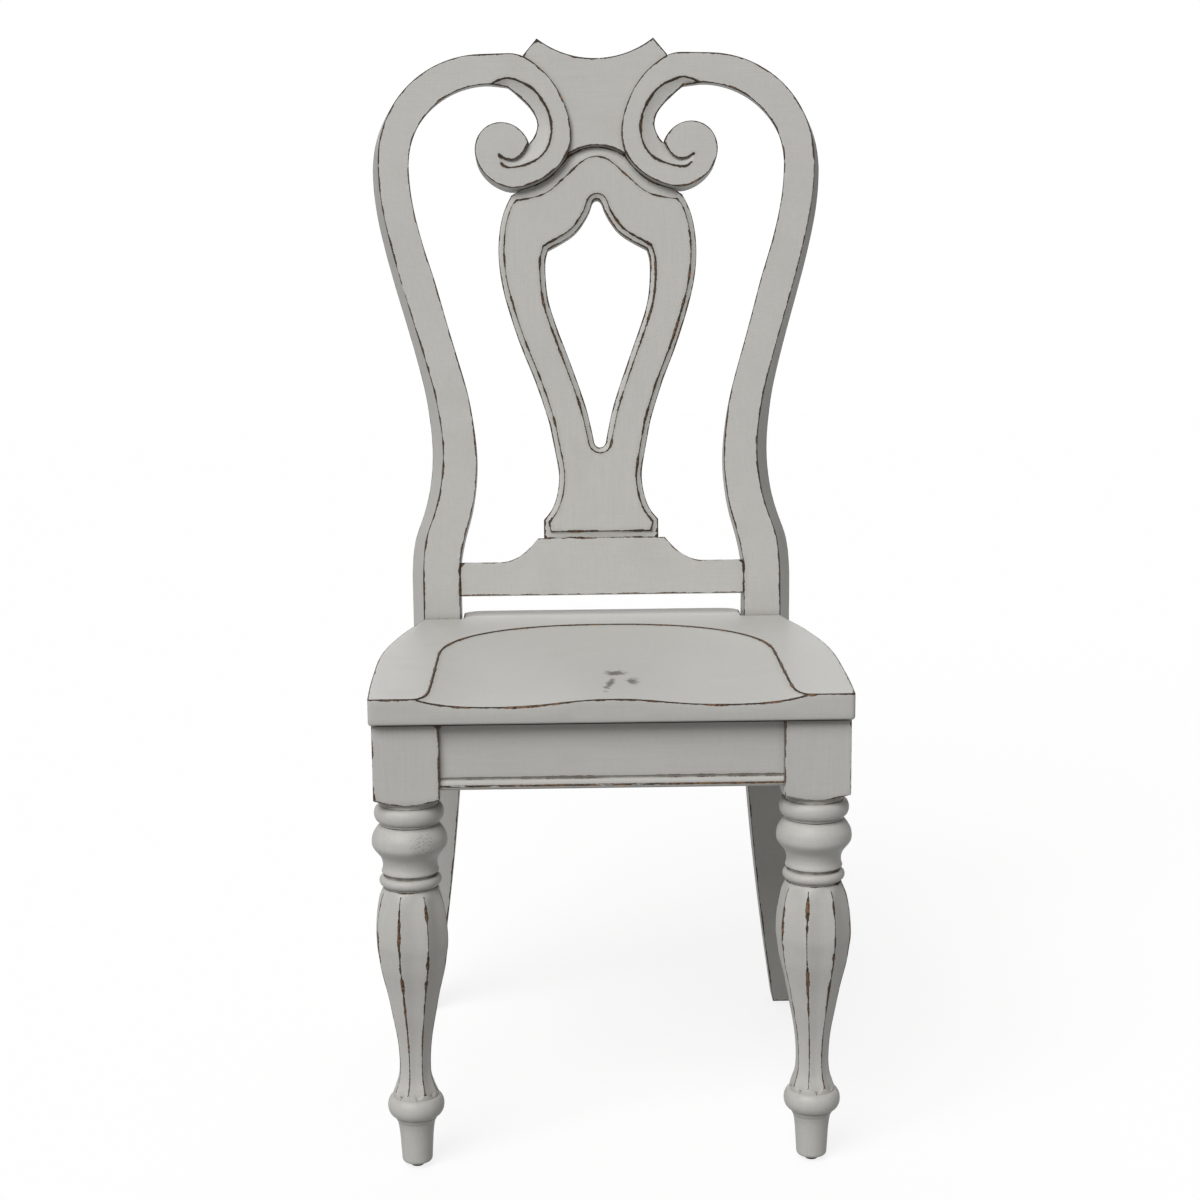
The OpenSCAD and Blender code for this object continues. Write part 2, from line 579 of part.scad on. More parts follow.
// The scroll's ends in flat parts: across the loop, across the arm and round the ball
loop_count = len(loop_outer);
arm_steps = 18;
scroll_count = len(scroll_outline);
arm_count = len(arm_inner);
ball_end = loop_count + len(scroll_outer) - 1;
scroll_parts = concat(
    [for (k = [0:loop_count - 2]) [k, k + 1, scroll_count - 2 - k, scroll_count - 1 - k]],
    [for (j = [0:arm_count - 1]) let (a = loop_count - 1 + round(j * arm_steps / arm_count),
            b = loop_count - 1 + round((j + 1) * arm_steps / arm_count), c = scroll_count - loop_count - j)
        concat([for (k = [a:b]) k], [c - 1, c])],
    [concat([ball_end, ball_end + 1], [for (k = [loop_count - 1 + arm_steps:ball_end - 1]) k])]);
function share_at(p, a, k) = let (i = [for (j = [0:len(p) - 2]) if (a >= p[j][0] && a <= p[j + 1][0]) j][0],
        t = (a - p[i][0]) / (p[i + 1][0] - p[i][0]))
    p[i][k] * (1 - t) + p[i + 1][k] * t;
// Middle of the scroll's arm, which the panel reaches
arm_middle = [for (a = [110:10:170]) around(eye, a,
    (share_at(scroll_shares, a, 1) + share_at(arm_shares, a, 1)) / 2 * scroll_r)];
arch_r = (arch_half_w * arch_half_w + arch_drop * arch_drop) / (2 * arch_drop);
arch_angle = asin(arch_half_w / arch_r);
arch_line = [for (i = [0:6]) let (a = arch_angle * (1 - i / 6))
    [arch_r * sin(a), arch_h - arch_r + arch_r * cos(a)]];
hollow_r = (ear_x * ear_x + ear_hollow * ear_hollow) / (2 * ear_hollow);
hollow_angle = asin(ear_x / hollow_r);
hollow_line = [for (i = [0:8]) let (a = hollow_angle * (i / 8))
    [hollow_r * sin(a), back_len - ear_hollow + hollow_r - hollow_r * cos(a)]];
panel_half = concat(turned(arch_line), [around(eye, panel_end_angle, scroll_r * panel_end_share)],
    turned(arm_middle),
    [[ear_x + ear_side_w, back_len - ear_side_h]], turned(hollow_line));
panel_outline = concat(panel_half, [for (q = mirrored(panel_half)) if (q[0] < 0) q]);
// Cutter of the cove that is carved into a scroll, deep at its inner edge
cove_path = smooth(cove_shares, 2);
cove_rings = [for (i = [0:len(cove_path) - 1]) let (q = cove_path[i],
        t = i / (len(cove_path) - 1), d = cove_depth * pow(sin(180 * pow(t, 0.8)), 0.6) + joint_gap)
    [[each around(eye, q[0], q[2] * scroll_r), -d],
        [each around(eye, q[0], (q[1] * 0.5 + q[2] * 0.5) * scroll_r), -d * 0.7],
        [each around(eye, q[0], q[1] * scroll_r), -joint_gap],
        [each around(eye, q[0], q[1] * scroll_r), over],
        [each around(eye, q[0], q[2] * scroll_r), over]]];

module crest_rail() {
    color(paint) placed() leaning() difference() {
        union() {
            translate([0, 0, -back_t]) linear_extrude(back_t - panel_recess)
                polygon(panel_outline);
            both_sides() through([lifted(rear_outline, -back_t), lifted(scroll_outline, 0)], false,
                scroll_parts, true);
        }
        both_sides() {
            through([for (r = cove_rings) turned(r)]);
            crest_dowel_places() dowel_hole();
        }
        tenon(top_tenon_half_w, arch_h - arch_drop * 2, arch_h + tenon_in, joint_gap);
    }
}

// Splat
tenon_z = -splat_recess - ledge_t - (splat_t - ledge_t) / 2 - tenon_t / 2;

module tenon(half_w, from, to, gap) {
    translate([-half_w - gap, from, tenon_z - gap])
        cube([2 * (half_w + gap), to - from + gap, tenon_t + 2 * gap]);
}

opening_top = opening_top_share * arch_h;
opening_foot = opening_foot_share * arch_h;
splat_side = smooth([for (q = splat_shares) [q[0] * splat_half_w, q[1] * arch_h]], 2);
scroll_under = [for (q = smooth(scroll_shares, 2)) if (q[0] > 183 && q[0] < 250)
    around(eye, q[0], q[1] * scroll_r) - [0, joint_gap]];
splat_half = concat(
    [[0, splat_foot], [base_half_w, splat_foot], [base_half_w, splat_foot + base_corner_h]],
    splat_side,
    turned(scroll_under), [for (q = arch_line) q - [0, joint_gap]]);
splat_outline = concat(splat_half, [for (q = mirrored(splat_half)) if (q[0] < 0) q]);
// The opening has a point for each point of the splat's outline, closer together at its foot
opening_side = smooth([for (q = opening_shares)
    [opening_foot + q[0] * (opening_top - opening_foot), q[1] * opening_half_w]], 2);
side_end = len(splat_side) + 2;
half_end = len(splat_half) - 1;
function side_share(i) = pow((splat_half[i][1] - splat_foot) / (arch_h - splat_foot), 2);
function opening_share(i) = i == 1 ? opening_foot_step : i < side_end ? side_share(i)
    : side_share(side_end - 1) + (1 - side_share(side_end - 1))
        * (1 - pow(1 - (i - side_end + 1) / (half_end - side_end + 1), 2));
opening_half = [for (i = [0:half_end]) let (
        h = opening_foot + (opening_top - opening_foot) * opening_share(i))
    [i == 0 || i == half_end ? 0 : lookup(h, opening_side), h]];
opening_outline = concat(opening_half, [for (q = mirrored(opening_half)) if (q[0] < 0) q]);
opening_edge = grown(opening_outline, ledge_w);

// The raised face's edge follows the splat's side, and its own curve under the crest rail
function face_point(p, i) = let (q = inset_point(p, i, i < 2 ? face_foot : ledge_w),
        x = p[i][0] * face_head_share)
    i < side_end ? q : [x, arch_h * lookup(x / splat_half_w, face_head_shares)];
face_half = [for (i = [0:half_end]) face_point(splat_outline, i)];
face_outline = concat(face_half, [for (q = mirrored(face_half)) if (q[0] < 0) q]);
// Line between the face's edge and the opening's edge, which keeps the flat between them unfolded
face_middle = [for (i = [0:len(face_outline) - 1]) let (f = face_outline[i], o = opening_edge[i],
        x = sign(f[0]) * min(abs(f[0]), middle_half_w + 2 * abs(o[0])))
    [(x + o[0]) / 2, f[1] + (o[1] - f[1]) * middle_share]];

module splat() {
    color(paint) placed() leaning() {
        translate([0, 0, -splat_recess]) through([lifted(splat_outline, -splat_t),
            lifted(splat_outline, -ledge_t), lifted(face_outline, -face_step),
            lifted(face_outline, 0), lifted(face_middle, 0), lifted(opening_edge, 0),
            lifted(opening_edge, -face_step),
            lifted(opening_outline, -ledge_t), lifted(opening_outline, -splat_t)], true);
        tenon(top_tenon_half_w, arch_h - arch_drop * 3, arch_h + tenon_in - joint_gap, 0);
        tenon(foot_tenon_half_w, splat_foot - tenon_in + joint_gap, splat_foot + over, 0);
    }
}

// Lower back rail
cove_w = low_rail_half_w * 0.62;
low_rail_half = concat(
    [[0, low_rail_h], [post_in - joint_gap, low_rail_h],
        [post_in - joint_gap, low_rail_h + low_rail_w]],
    [for (i = [8:-1:0]) let (u = i / 8)
        [low_rail_half_w + cove_w * u,
            low_rail_h + low_rail_w + low_rail_rise * pow(1 - u, 2.2) - joint_gap]],
    [[0, splat_foot - joint_gap]]);
low_rail_outline = concat(low_rail_half, [for (q = mirrored(low_rail_half)) if (q[0] < 0) q]);

module lower_back_rail() {
    color(paint) placed() leaning() difference() {
        translate([0, 0, -low_rail_recess - low_rail_t]) linear_extrude(low_rail_t)
            polygon(low_rail_outline);
        tenon(foot_tenon_half_w, splat_foot - tenon_in - joint_gap, splat_foot + over, joint_gap);
        both_sides() low_dowel_places() dowel_hole();
    }
}

// Seat rails: profile with x into the rail and y up, the outer face at zero
rail_profile = concat(
    [[rail_t, seat_under], [0, seat_under], [0, rail_under + bead_h + groove_w],
        [groove_w * 0.8, rail_under + bead_h + groove_w], [groove_w * 0.8, rail_under + bead_h]],
    [for (a = [80:-20:-80]) [groove_w * 0.5 - bead_out * cos(a),
        rail_under + bead_h / 2 + bead_h / 2 * sin(a)]],
    [[groove_w * 0.5, rail_under], [rail_t, rail_under]]);

module front_rail() {
    color(paint) placed() difference() {
        translate([-block_in_x + joint_gap, rail_front_y, 0]) rotate([90, 0, 90])
            linear_extrude(2 * (block_in_x - joint_gap)) polygon(rail_profile);
        both_sides() {
            front_dowel_places() dowel_hole();
            corner_screw_place("front") screw_hole();
        }
    }
}

module side_rail() {
    length = post_y - block_back_y - 2 * joint_gap;
    difference() {
        intersection() {
            translate([side_front_x, block_back_y, 0]) rotate([0, 0, side_angle])
                translate([0, -rail_t, 0]) rotate([90, 0, 0]) mirror([1, 0, 0])
                    mirror([0, 0, 1]) linear_extrude(length + 3 * rail_t) polygon(rail_profile);
            translate([side_back_x - 2 * rail_t, block_back_y + joint_gap, rail_under - over])
                cube([5 * rail_t, length, rail_h + 2 * over]);
        }
        side_dowel_places() dowel_hole();
        corner_screw_place("front_side") screw_hole();
        corner_screw_place("rear_side") screw_hole();
    }
}

module left_side_rail() {
    color(paint) placed() mirror([1, 0, 0]) side_rail();
}

module right_side_rail() {
    color(paint) placed() side_rail();
}

module rear_rail() {
    half = post_in - joint_gap;
    color(paint) placed() difference() {
        translate([-half, rear_rail_y, rail_under]) cube([2 * half, rail_t, rail_h]);
        both_sides() {
            rear_dowel_places() dowel_hole();
            corner_screw_place("rear") screw_hole();
        }
    }
}

// Corner blocks: their long faces lie at 45 degrees, square to the hanger bolts
front_reach = (side_in(block_back_y) - joint_gap - (block_in_x - corner_reach)
    - (rail_back_y + joint_gap - block_back_y) * tan(side_angle)) / (1 + tan(side_angle));
front_corner_outline = [
    [block_in_x - joint_gap, rail_back_y + joint_gap],
    [block_in_x - joint_gap, block_back_y + joint_gap],
    [side_in(block_back_y) - joint_gap, block_back_y + joint_gap],
    [block_in_x - corner_reach + front_reach, rail_back_y + joint_gap + front_reach],
    [block_in_x - corner_reach, rail_back_y + joint_gap]];
rear_reach = rear_rail_y - joint_gap - (post_y - corner_reach);
rear_corner_outline = [
    [side_in(post_y) - joint_gap, post_y - joint_gap],
    [post_in - joint_gap, post_y - joint_gap],
    [post_in - joint_gap, rear_rail_y - joint_gap],
    [side_in(post_y - corner_reach) - joint_gap - rear_reach, rear_rail_y - joint_gap],
    [side_in(post_y - corner_reach) - joint_gap, post_y - corner_reach]];

module front_corner_block() {
    difference() {
        translate([0, 0, corner_under]) linear_extrude(corner_t) polygon(front_corner_outline);
        bolt_place() translate([0, 0, -corner_reach])
            cylinder(r = bolt_r + bolt_play, h = corner_reach * 2, $fn = 24);
        corner_screw_place("front") screw_hole();
        corner_screw_place("front_side") screw_hole();
        front_seat_screw_place() screw_hole();
    }
}

module rear_corner_block() {
    difference() {
        translate([0, 0, corner_under]) linear_extrude(corner_t) polygon(rear_corner_outline);
        corner_screw_place("rear") screw_hole();
        corner_screw_place("rear_side") screw_hole();
        rear_seat_screw_place() screw_hole();
    }
}

module front_left_corner_block() {
    color(bare_wood) placed() mirror([1, 0, 0]) front_corner_block();
}

module front_right_corner_block() {
    color(bare_wood) placed() front_corner_block();
}

module rear_left_corner_block() {
    color(bare_wood) placed() mirror([1, 0, 0]) rear_corner_block();
}

module rear_right_corner_block() {
    color(bare_wood) placed() rear_corner_block();
}

// Hanger bolts: z runs into the leg, and zero lies on the leg's inner corner
block_face = (corner_reach + rail_back_y + joint_gap - block_back_y) / sqrt(2) + hole_gap;

module bolt_place() {
    translate([block_in_x, block_back_y, corner_z]) rotate([0, 90, -45]) children();
}

module hanger_bolts() {
    color(steel) placed() both_sides() bolt_place()
        translate([0, 0, -block_face - washer_t - nut_t - bolt_past])
            cylinder(r = bolt_r, h = bolt_in + block_face + washer_t + nut_t + bolt_past, $fn = 24);
}

module bolt_washers() {
    color(steel) placed() both_sides() bolt_place()
        translate([0, 0, -block_face - washer_t]) difference() {
            cylinder(r = washer_r, h = washer_t, $fn = 32);
            translate([0, 0, -over]) cylinder(r = bolt_r + hole_gap, h = washer_t + 2 * over, $fn = 24);
        }
}

module bolt_nuts() {
    color(steel) placed() both_sides() bolt_place()
        translate([0, 0, -block_face - washer_t - nut_t]) difference() {
            cylinder(r = nut_r, h = nut_t, $fn = 6);
            translate([0, 0, -over]) cylinder(r = bolt_r + hole_gap, h = nut_t + 2 * over, $fn = 24);
        }
}

// Screws: z runs into the piece held, and zero lies on that piece's face
module screw() {
    translate([0, 0, -screw_grip]) cylinder(r = screw_r, h = screw_grip + screw_in, $fn = 20);
    translate([0, 0, -screw_grip - head_t]) cylinder(r = head_r, h = head_t, $fn = 24);
}

module screw_hole() {
    translate([0, 0, -screw_grip - over])
        cylinder(r = screw_r + hole_gap, h = screw_grip + screw_in + over + hole_gap, $fn = 20);
    translate([0, 0, -screw_grip - corner_reach])
        cylinder(r = head_r + bolt_play, h = corner_reach, $fn = 24);
}

module corner_screw_place(which) {
    if (which == "front")
        translate([block_in_x - front_screw_out, rail_back_y, corner_z]) rotate([90, 0, 0]) children();
    if (which == "front_side")
        translate([side_in(block_back_y + front_screw_out), block_back_y + front_screw_out, corner_z])
            rotate([0, 90, 0]) children();
    if (which == "rear")
        translate([post_in - rear_screw_out, rear_rail_y, corner_z]) rotate([-90, 0, 0]) children();
    if (which == "rear_side")
        translate([side_in(post_y - rear_side_screw_out), post_y - rear_side_screw_out, corner_z])
            rotate([0, 90, 0]) children();
}

module front_seat_screw_place() {
    translate([block_in_x + seat_screw_x, block_back_y + seat_screw_y, seat_under]) children();
}

module rear_seat_screw_place() {
    translate([post_in + rear_seat_screw_x, post_y - rear_seat_screw_y, seat_under]) children();
}

module seat_screw_places() {
    both_sides() {
        front_seat_screw_place() children();
        rear_seat_screw_place() children();
    }
}

module block_screws() {
    color(steel) placed() both_sides()
        for (which = ["front", "front_side", "rear", "rear_side"])
            corner_screw_place(which) screw();
}

module seat_screws() {
    color(steel) placed() seat_screw_places() screw();
}

// Dowels: z runs along the dowel, and zero lies on the joint
module dowel() {
    translate([0, 0, -dowel_in]) cylinder(r = dowel_r, h = 2 * dowel_in, $fn = 24);
}

module dowel_hole() {
    translate([0, 0, -dowel_in - joint_gap])
        cylinder(r = dowel_r + hole_gap, h = 2 * (dowel_in + joint_gap), $fn = 24);
}

module front_dowel_places() {
    for (z = [-rail_dowel_z, rail_dowel_z])
        translate([block_in_x, rail_front_y + rail_t / 2, rail_under + rail_h / 2 + z])
            rotate([0, 90, 0]) children();
}

module side_dowel_places() {
    for (z = [-rail_dowel_z, rail_dowel_z]) {
        translate([side_front_x - rail_t / 2, block_back_y, rail_under + rail_h / 2 + z])
            rotate([90, 0, 0]) children();
        translate([side_back_x - rail_t / 2, post_y, rail_under + rail_h / 2 + z])
            rotate([90, 0, 0]) children();
    }
}

module rear_dowel_places() {
    for (z = [-rail_dowel_z, rail_dowel_z])
        translate([post_in, rear_rail_y + rail_t / 2, rail_under + rail_h / 2 + z])
            rotate([0, 90, 0]) children();
}

module low_dowel_places() {
    for (s = [-low_rail_dowel_s, low_rail_dowel_s])
        translate([post_in, low_rail_h + low_rail_w / 2 + s, -low_rail_recess - low_rail_t / 2])
            rotate([0, 90, 0]) children();
}

module crest_dowel_places() {
    for (x = [-crest_dowel_x, crest_dowel_x])
        translate([loop_half - loop_band / 2 + x, loop_h, -back_t / 2]) rotate([90, 0, 0]) children();
}

module front_rail_dowels() {
    color(bare_wood) placed() both_sides() front_dowel_places() dowel();
}

module side_rail_dowels() {
    color(bare_wood) placed() both_sides() side_dowel_places() dowel();
}

module rear_rail_dowels() {
    color(bare_wood) placed() both_sides() rear_dowel_places() dowel();
}

module lower_rail_dowels() {
    color(bare_wood) placed() leaning() both_sides() low_dowel_places() dowel();
}

module crest_dowels() {
    color(bare_wood) placed() leaning() both_sides() crest_dowel_places() dowel();
}

// Glides with their nails
module glide() {
    rotate_extrude($fn = 36) polygon([[0, 0], [glide_r * 0.85, 0], [glide_r, glide_t * 0.3],
        [glide_r, glide_t], [nail_r, glide_t], [nail_r, glide_t + nail_in * 0.8],
        [0, glide_t + nail_in]]);
}

module foot_glides() {
    color(glide_plastic) placed() both_sides() {
        translate([leg_x, leg_y, 0]) glide();
        translate([rear_foot_x, rear_foot_y, 0]) glide();
    }
}

seat();
left_front_leg();
right_front_leg();
left_back_post();
right_back_post();
crest_rail();
splat();
lower_back_rail();
front_rail();
left_side_rail();
right_side_rail();
rear_rail();
front_left_corner_block();
front_right_corner_block();
rear_left_corner_block();
rear_right_corner_block();
hanger_bolts();
bolt_washers();
bolt_nuts();
block_screws();
seat_screws();
front_rail_dowels();
side_rail_dowels();
rear_rail_dowels();
lower_rail_dowels();
crest_dowels();
foot_glides();
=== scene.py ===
"""Splat back side chair in antique grey paint: its dressed pieces, finishes, light and camera.

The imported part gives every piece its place. The back and the rails are finer copies of their CAD
nodes. The seat and the front legs are built here with operators: the seat to the part's sizes, and
the legs' rings, bulb and vase to the photograph, which puts them up to 5 mm from the part's. Every
painted piece carries three distances for its paint: to the nearest arris, to the nearest crevice
and to the nearest other piece. Metres, the same frame as the CAD.
"""
import logging
import math
from dataclasses import dataclass, field
from enum import Enum
from typing import Any, Callable, Iterable, Optional, Sequence

import bmesh
import bpy
from mathutils import Matrix, Vector
from mathutils.bvhtree import BVHTree
from mathutils.kdtree import KDTree


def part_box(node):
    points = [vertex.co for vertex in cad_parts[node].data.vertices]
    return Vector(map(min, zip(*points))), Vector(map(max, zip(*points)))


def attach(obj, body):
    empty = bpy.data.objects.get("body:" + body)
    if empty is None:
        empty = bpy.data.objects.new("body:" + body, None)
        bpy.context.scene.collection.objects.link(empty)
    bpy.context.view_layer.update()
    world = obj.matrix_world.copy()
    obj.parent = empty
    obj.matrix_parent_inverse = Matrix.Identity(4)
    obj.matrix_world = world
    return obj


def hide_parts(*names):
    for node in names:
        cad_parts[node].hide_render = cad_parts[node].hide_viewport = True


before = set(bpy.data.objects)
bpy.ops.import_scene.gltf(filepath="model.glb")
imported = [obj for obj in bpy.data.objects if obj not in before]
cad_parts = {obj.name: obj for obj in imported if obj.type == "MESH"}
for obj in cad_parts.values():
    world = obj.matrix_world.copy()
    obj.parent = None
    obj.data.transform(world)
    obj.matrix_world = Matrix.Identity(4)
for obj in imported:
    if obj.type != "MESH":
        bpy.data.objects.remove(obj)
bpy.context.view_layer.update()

log = logging.getLogger("chair")

# A millimetre, the furthest that the paint looks, the gap at which points are one, and the step
# between the points along an arris, all in metres.
MM = 0.001
FAR = 0.03
MERGE = 0.00001
LINE_STEP = 0.0008
BODY = "root"
Colour = tuple[float, float, float]


class Grain(Enum):
    """The way in which a piece's grain and brush strokes run."""

    ACROSS = (1, 0, 0)
    DEEP = (0, 1, 0)
    UPRIGHT = (0, 0, 1)


class Socket:
    """A number from a node, with which Python arithmetic adds Math nodes."""

    def __init__(self, graph: "Graph", out: bpy.types.NodeSocket) -> None:
        """Keeps the graph and the node's output."""
        self.graph = graph
        self.out = out

    def math(self, operation: str, *values: Any) -> "Socket":
        """Adds a Math node.

        Args:
            operation: the Math node's operation.
            values: its inputs in order, as numbers or sockets.

        Returns:
            The node's result.
        """
        return self.graph.node("ShaderNodeMath", {"operation": operation}, dict(enumerate(values)))

    def __add__(self, other: Any) -> "Socket":
        """Sum."""
        return self.math("ADD", self, other)

    def __radd__(self, other: Any) -> "Socket":
        """Sum with a number on the left."""
        return self.math("ADD", other, self)

    def __sub__(self, other: Any) -> "Socket":
        """Difference."""
        return self.math("SUBTRACT", self, other)

    def __rsub__(self, other: Any) -> "Socket":
        """Difference from a number on the left."""
        return self.math("SUBTRACT", other, self)

    def __mul__(self, other: Any) -> "Socket":
        """Product."""
        return self.math("MULTIPLY", self, other)

    def __rmul__(self, other: Any) -> "Socket":
        """Product with a number on the left."""
        return self.math("MULTIPLY", other, self)

    def larger(self, other: Any) -> "Socket":
        """The larger of the two."""
        return self.math("MAXIMUM", self, other)

    def step(self, low: Any, high: Any) -> "Socket":
        """Rises smoothly from 0 at low to 1 at high, or falls where low is the larger."""
        return self.graph.node(
            "ShaderNodeMapRange",
            {"interpolation_type": "SMOOTHSTEP", "clamp": True},
            {"Value": self, "From Min": low, "From Max": high},
        )


class Graph:
    """The nodes of one material."""

    def __init__(self, name: str) -> None:
        """Makes the material with its output node alone.

        Args:
            name: the material's name.
        """
        self.material = bpy.data.materials.new(name)
        self.material.use_nodes = True
        self.tree = self.material.node_tree
        self.tree.nodes.clear()
        self.end = self.tree.nodes.new("ShaderNodeOutputMaterial")

    def node(self, kind: str, settings: dict[str, Any], inputs: dict[Any, Any], out: Any = 0) -> Socket:
        """Adds a node.

        Args:
            kind: the node's type.
            settings: its properties by name, which are set before its sockets.
            inputs: values or sockets by the input's name or number.
            out: name or number of the output wanted.

        Returns:
            That output.
        """
        made = self.tree.nodes.new(kind)
        for name, value in settings.items():
            setattr(made, name, value)
        for name, value in inputs.items():
            if isinstance(value, Socket):
                self.tree.links.new(value.out, made.inputs[name])
            elif made.inputs[name].type == "RGBA" and len(value) == 3:
                made.inputs[name].default_value = (*value, 1.0)
            else:
                made.inputs[name].default_value = value
        return Socket(self, made.outputs[out])

    def place(self) -> Socket:
        """Where a point lies on the chair, in metres."""
        return self.node("ShaderNodeTexCoord", {}, {}, "Object")

    def distance(self, name: str) -> Socket:
        """One of the distances that a mesh carries."""
        return self.node("ShaderNodeAttribute", {"attribute_name": name}, {}, "Fac")

    def turned(self, where: Socket, lean: float) -> Socket:
        """The place turned about the X axis by an angle."""
        inputs = {"Vector": where, "Rotation": (lean, 0, 0)}
        return self.node("ShaderNodeMapping", {"vector_type": "POINT"}, inputs)

    def stretched(self, where: Socket, scale: Sequence[float]) -> Socket:
        """The place times a scale for each axis."""
        return self.node("ShaderNodeVectorMath", {"operation": "MULTIPLY"}, {0: where, 1: scale})

    def noise(self, where: Socket, scale: float, detail: float = 3.0, rough: float = 0.55) -> Socket:
        """Noise about 0.5 at a scale per metre."""
        return self.node(
            "ShaderNodeTexNoise",
            {"noise_dimensions": "3D"},
            {"Vector": where, "Scale": scale, "Detail": detail, "Roughness": rough},
            "Fac",
        )

    def blend(self, low: Any, high: Any, share: Any) -> Socket:
        """One colour or another by a share from 0 to 1."""
        return self.node(
            "ShaderNodeMix",
            {"data_type": "RGBA", "blend_type": "MIX", "clamp_factor": True},
            {0: share, 6: low, 7: high},
            2,
        )

    def shaded(self, colour: Any, tone: Any) -> Socket:
        """A colour made lighter or darker by a factor."""
        return self.node("ShaderNodeVectorMath", {"operation": "SCALE"}, {0: colour, "Scale": tone})

    def bump(self, height: Socket, depth: float) -> Socket:
        """The normal of a surface with a relief of height 0 to 1 times a depth in metres."""
        inputs = {"Height": height, "Distance": depth, "Strength": 1.0}
        return self.node("ShaderNodeBump", {}, inputs, "Normal")

    def surface(self, inputs: dict[str, Any]) -> bpy.types.Material:
        """Ends the material in a Principled shader.

        Args:
            inputs: the shader's values or sockets by name.

        Returns:
            The finished material.
        """
        shader = self.node("ShaderNodeBsdfPrincipled", {}, inputs)
        self.tree.links.new(shader.out, self.end.inputs["Surface"])
        return self.material


@dataclass(frozen=True)
class Paint:
    """Satin antique grey paint, rubbed through on its arrises and glazed brown in its hollows.

    Attributes:
        name: the material's name.
        grain: the way its brush strokes run.
        lean: the angle at which the piece leans back.
        wear: how much further the wear reaches where it is heaviest, in metres.
        least: how far from an arris the wear reaches anywhere, in metres.
        kept: level of the noise below which an arris keeps its paint.
        bare: how much more of the wear goes down to the wood.
        shadow: how much the paint darkens beside another piece.
        knots: whether the three smudged knots show.
        low_edge: height of a rail's lower edge, above which a band is rubbed bare.
        belly: height of a leg's belly, where its arrises are rubbed most.
        front_edge: place of a seat's front edge, where it is rubbed most.
        pits: middle of a cluster of pits.
        colour: the paint.
        soil_and_shade: the paint in its soiled places, and in its painted shadow beside crevices and other
            pieces.
        umber: the brown glaze.
        wood: the wood where it is bare.
    """

    name: str
    grain: Grain
    lean: float = 0.0
    wear: float = 0.0011
    least: float = 0.00042
    kept: float = 0.40
    bare: float = 0.0
    shadow: float = 0.30
    knots: bool = False
    low_edge: Optional[float] = None
    belly: Optional[float] = None
    front_edge: Optional[float] = None
    pits: Optional[tuple[float, float, float]] = None
    colour: Colour = (0.520, 0.514, 0.489)
    soil_and_shade: Colour = (0.330, 0.305, 0.265)
    umber: Colour = (0.050, 0.036, 0.026)
    wood: Colour = (0.225, 0.130, 0.072)

    def strokes(self, graph: Graph, where: Socket, fine: float, long: float) -> Socket:
        """Noise drawn out along the grain.

        Args:
            graph: the material's nodes.
            where: the place on the piece.
            fine: scale across the grain, per metre.
            long: scale along the grain, per metre.

        Returns:
            Noise about 0.5.
        """
        scale = [long if axis else fine for axis in self.grain.value]
        return graph.noise(graph.stretched(where, scale), 1.0, 3.0, 0.6)

    def material(self) -> bpy.types.Material:
        """Makes the paint's material.

        Returns:
            The material.
        """
        graph = Graph(self.name)
        place = graph.place()
        where = graph.turned(place, self.lean)
        brushed = self.strokes(graph, where, 460.0, 22.0)
        cross = self.strokes(graph, where, 70.0, 700.0)
        cloud = graph.noise(place, 8.0)
        broad = graph.noise(place, 17.0, 2.0, 0.5)
        patch = graph.noise(place, 52.0, 3.0, 0.55)
        ragged = graph.noise(where, 340.0, 3.0, 0.65)
        fine = graph.noise(where, 1100.0, 2.0, 0.6)

        arris = graph.distance("arris")
        crevice = graph.distance("crevice")
        contact = graph.distance("contact")

        tone = 1.0 + (brushed - 0.5) * 0.13 + (cross - 0.5) * 0.10 + (cloud - 0.5) * 0.10
        tone = tone + (fine - 0.5) * 0.16 + (ragged - 0.5) * 0.07
        # Painted shadow: the paint darkens within 6 mm of a crevice and within 9 mm of another piece, where
        # shading falls. The soiled share is random soiling from noise. Both blend towards the same darker
        # paint.
        near = (crevice.step(0.0060, 0.0) * 0.30).larger(contact.step(0.009, 0.0) * self.shadow)
        soiled = (cloud * 0.5 + broad * 0.5).step(0.52, 0.72) * 0.16
        colour = graph.blend(self.colour, self.soil_and_shade, near + soiled)
        colour = graph.shaded(colour, tone)

        rough = (ragged - 0.5) * 0.0012 + (fine - 0.5) * 0.0008
        thin = (patch * 0.6 + broad * 0.4).step(0.38, 0.58)
        hollow = (crevice + rough * 0.6 - thin * 0.0003).step(0.00055, 0.0) * (thin * 0.50 + 0.25)
        seam = (contact + rough * 0.6 - thin * 0.0002).step(0.0007, 0.0001) * (thin * 0.40 + 0.35)
        glazed = hollow.larger(seam)
        colour = graph.blend(colour, self.umber, glazed)

        strength = self.strength(graph, place)
        reach = patch.step(0.42, 0.68) * strength + self.least
        broken = (patch * 0.55 + broad * 0.45).step(self.kept - 0.05, self.kept + 0.03)
        rubbed = (arris + rough - reach).step(0.00016, -0.00016) * broken
        if self.low_edge is not None:
            rubbed = rubbed.larger(self.rubbed_edge(graph, place, patch, ragged, fine))
        chips = fine.step(0.735, 0.765) * broad.step(0.56, 0.64)
        if self.pits is not None:
            close = self.away(graph, place, self.pits)
            specks = fine.step(0.58, 0.62) * close.step(0.019, 0.006)
            chips = chips.larger(specks).larger(ragged.step(0.64, 0.68) * close.step(0.014, 0.006))
        worn = rubbed.larger(chips * 0.8)
        bare = patch.step(0.50 - self.bare, 0.66 - self.bare) * ragged.step(0.40, 0.56)
        colour = graph.blend(colour, graph.blend(self.umber, self.wood, bare), worn)

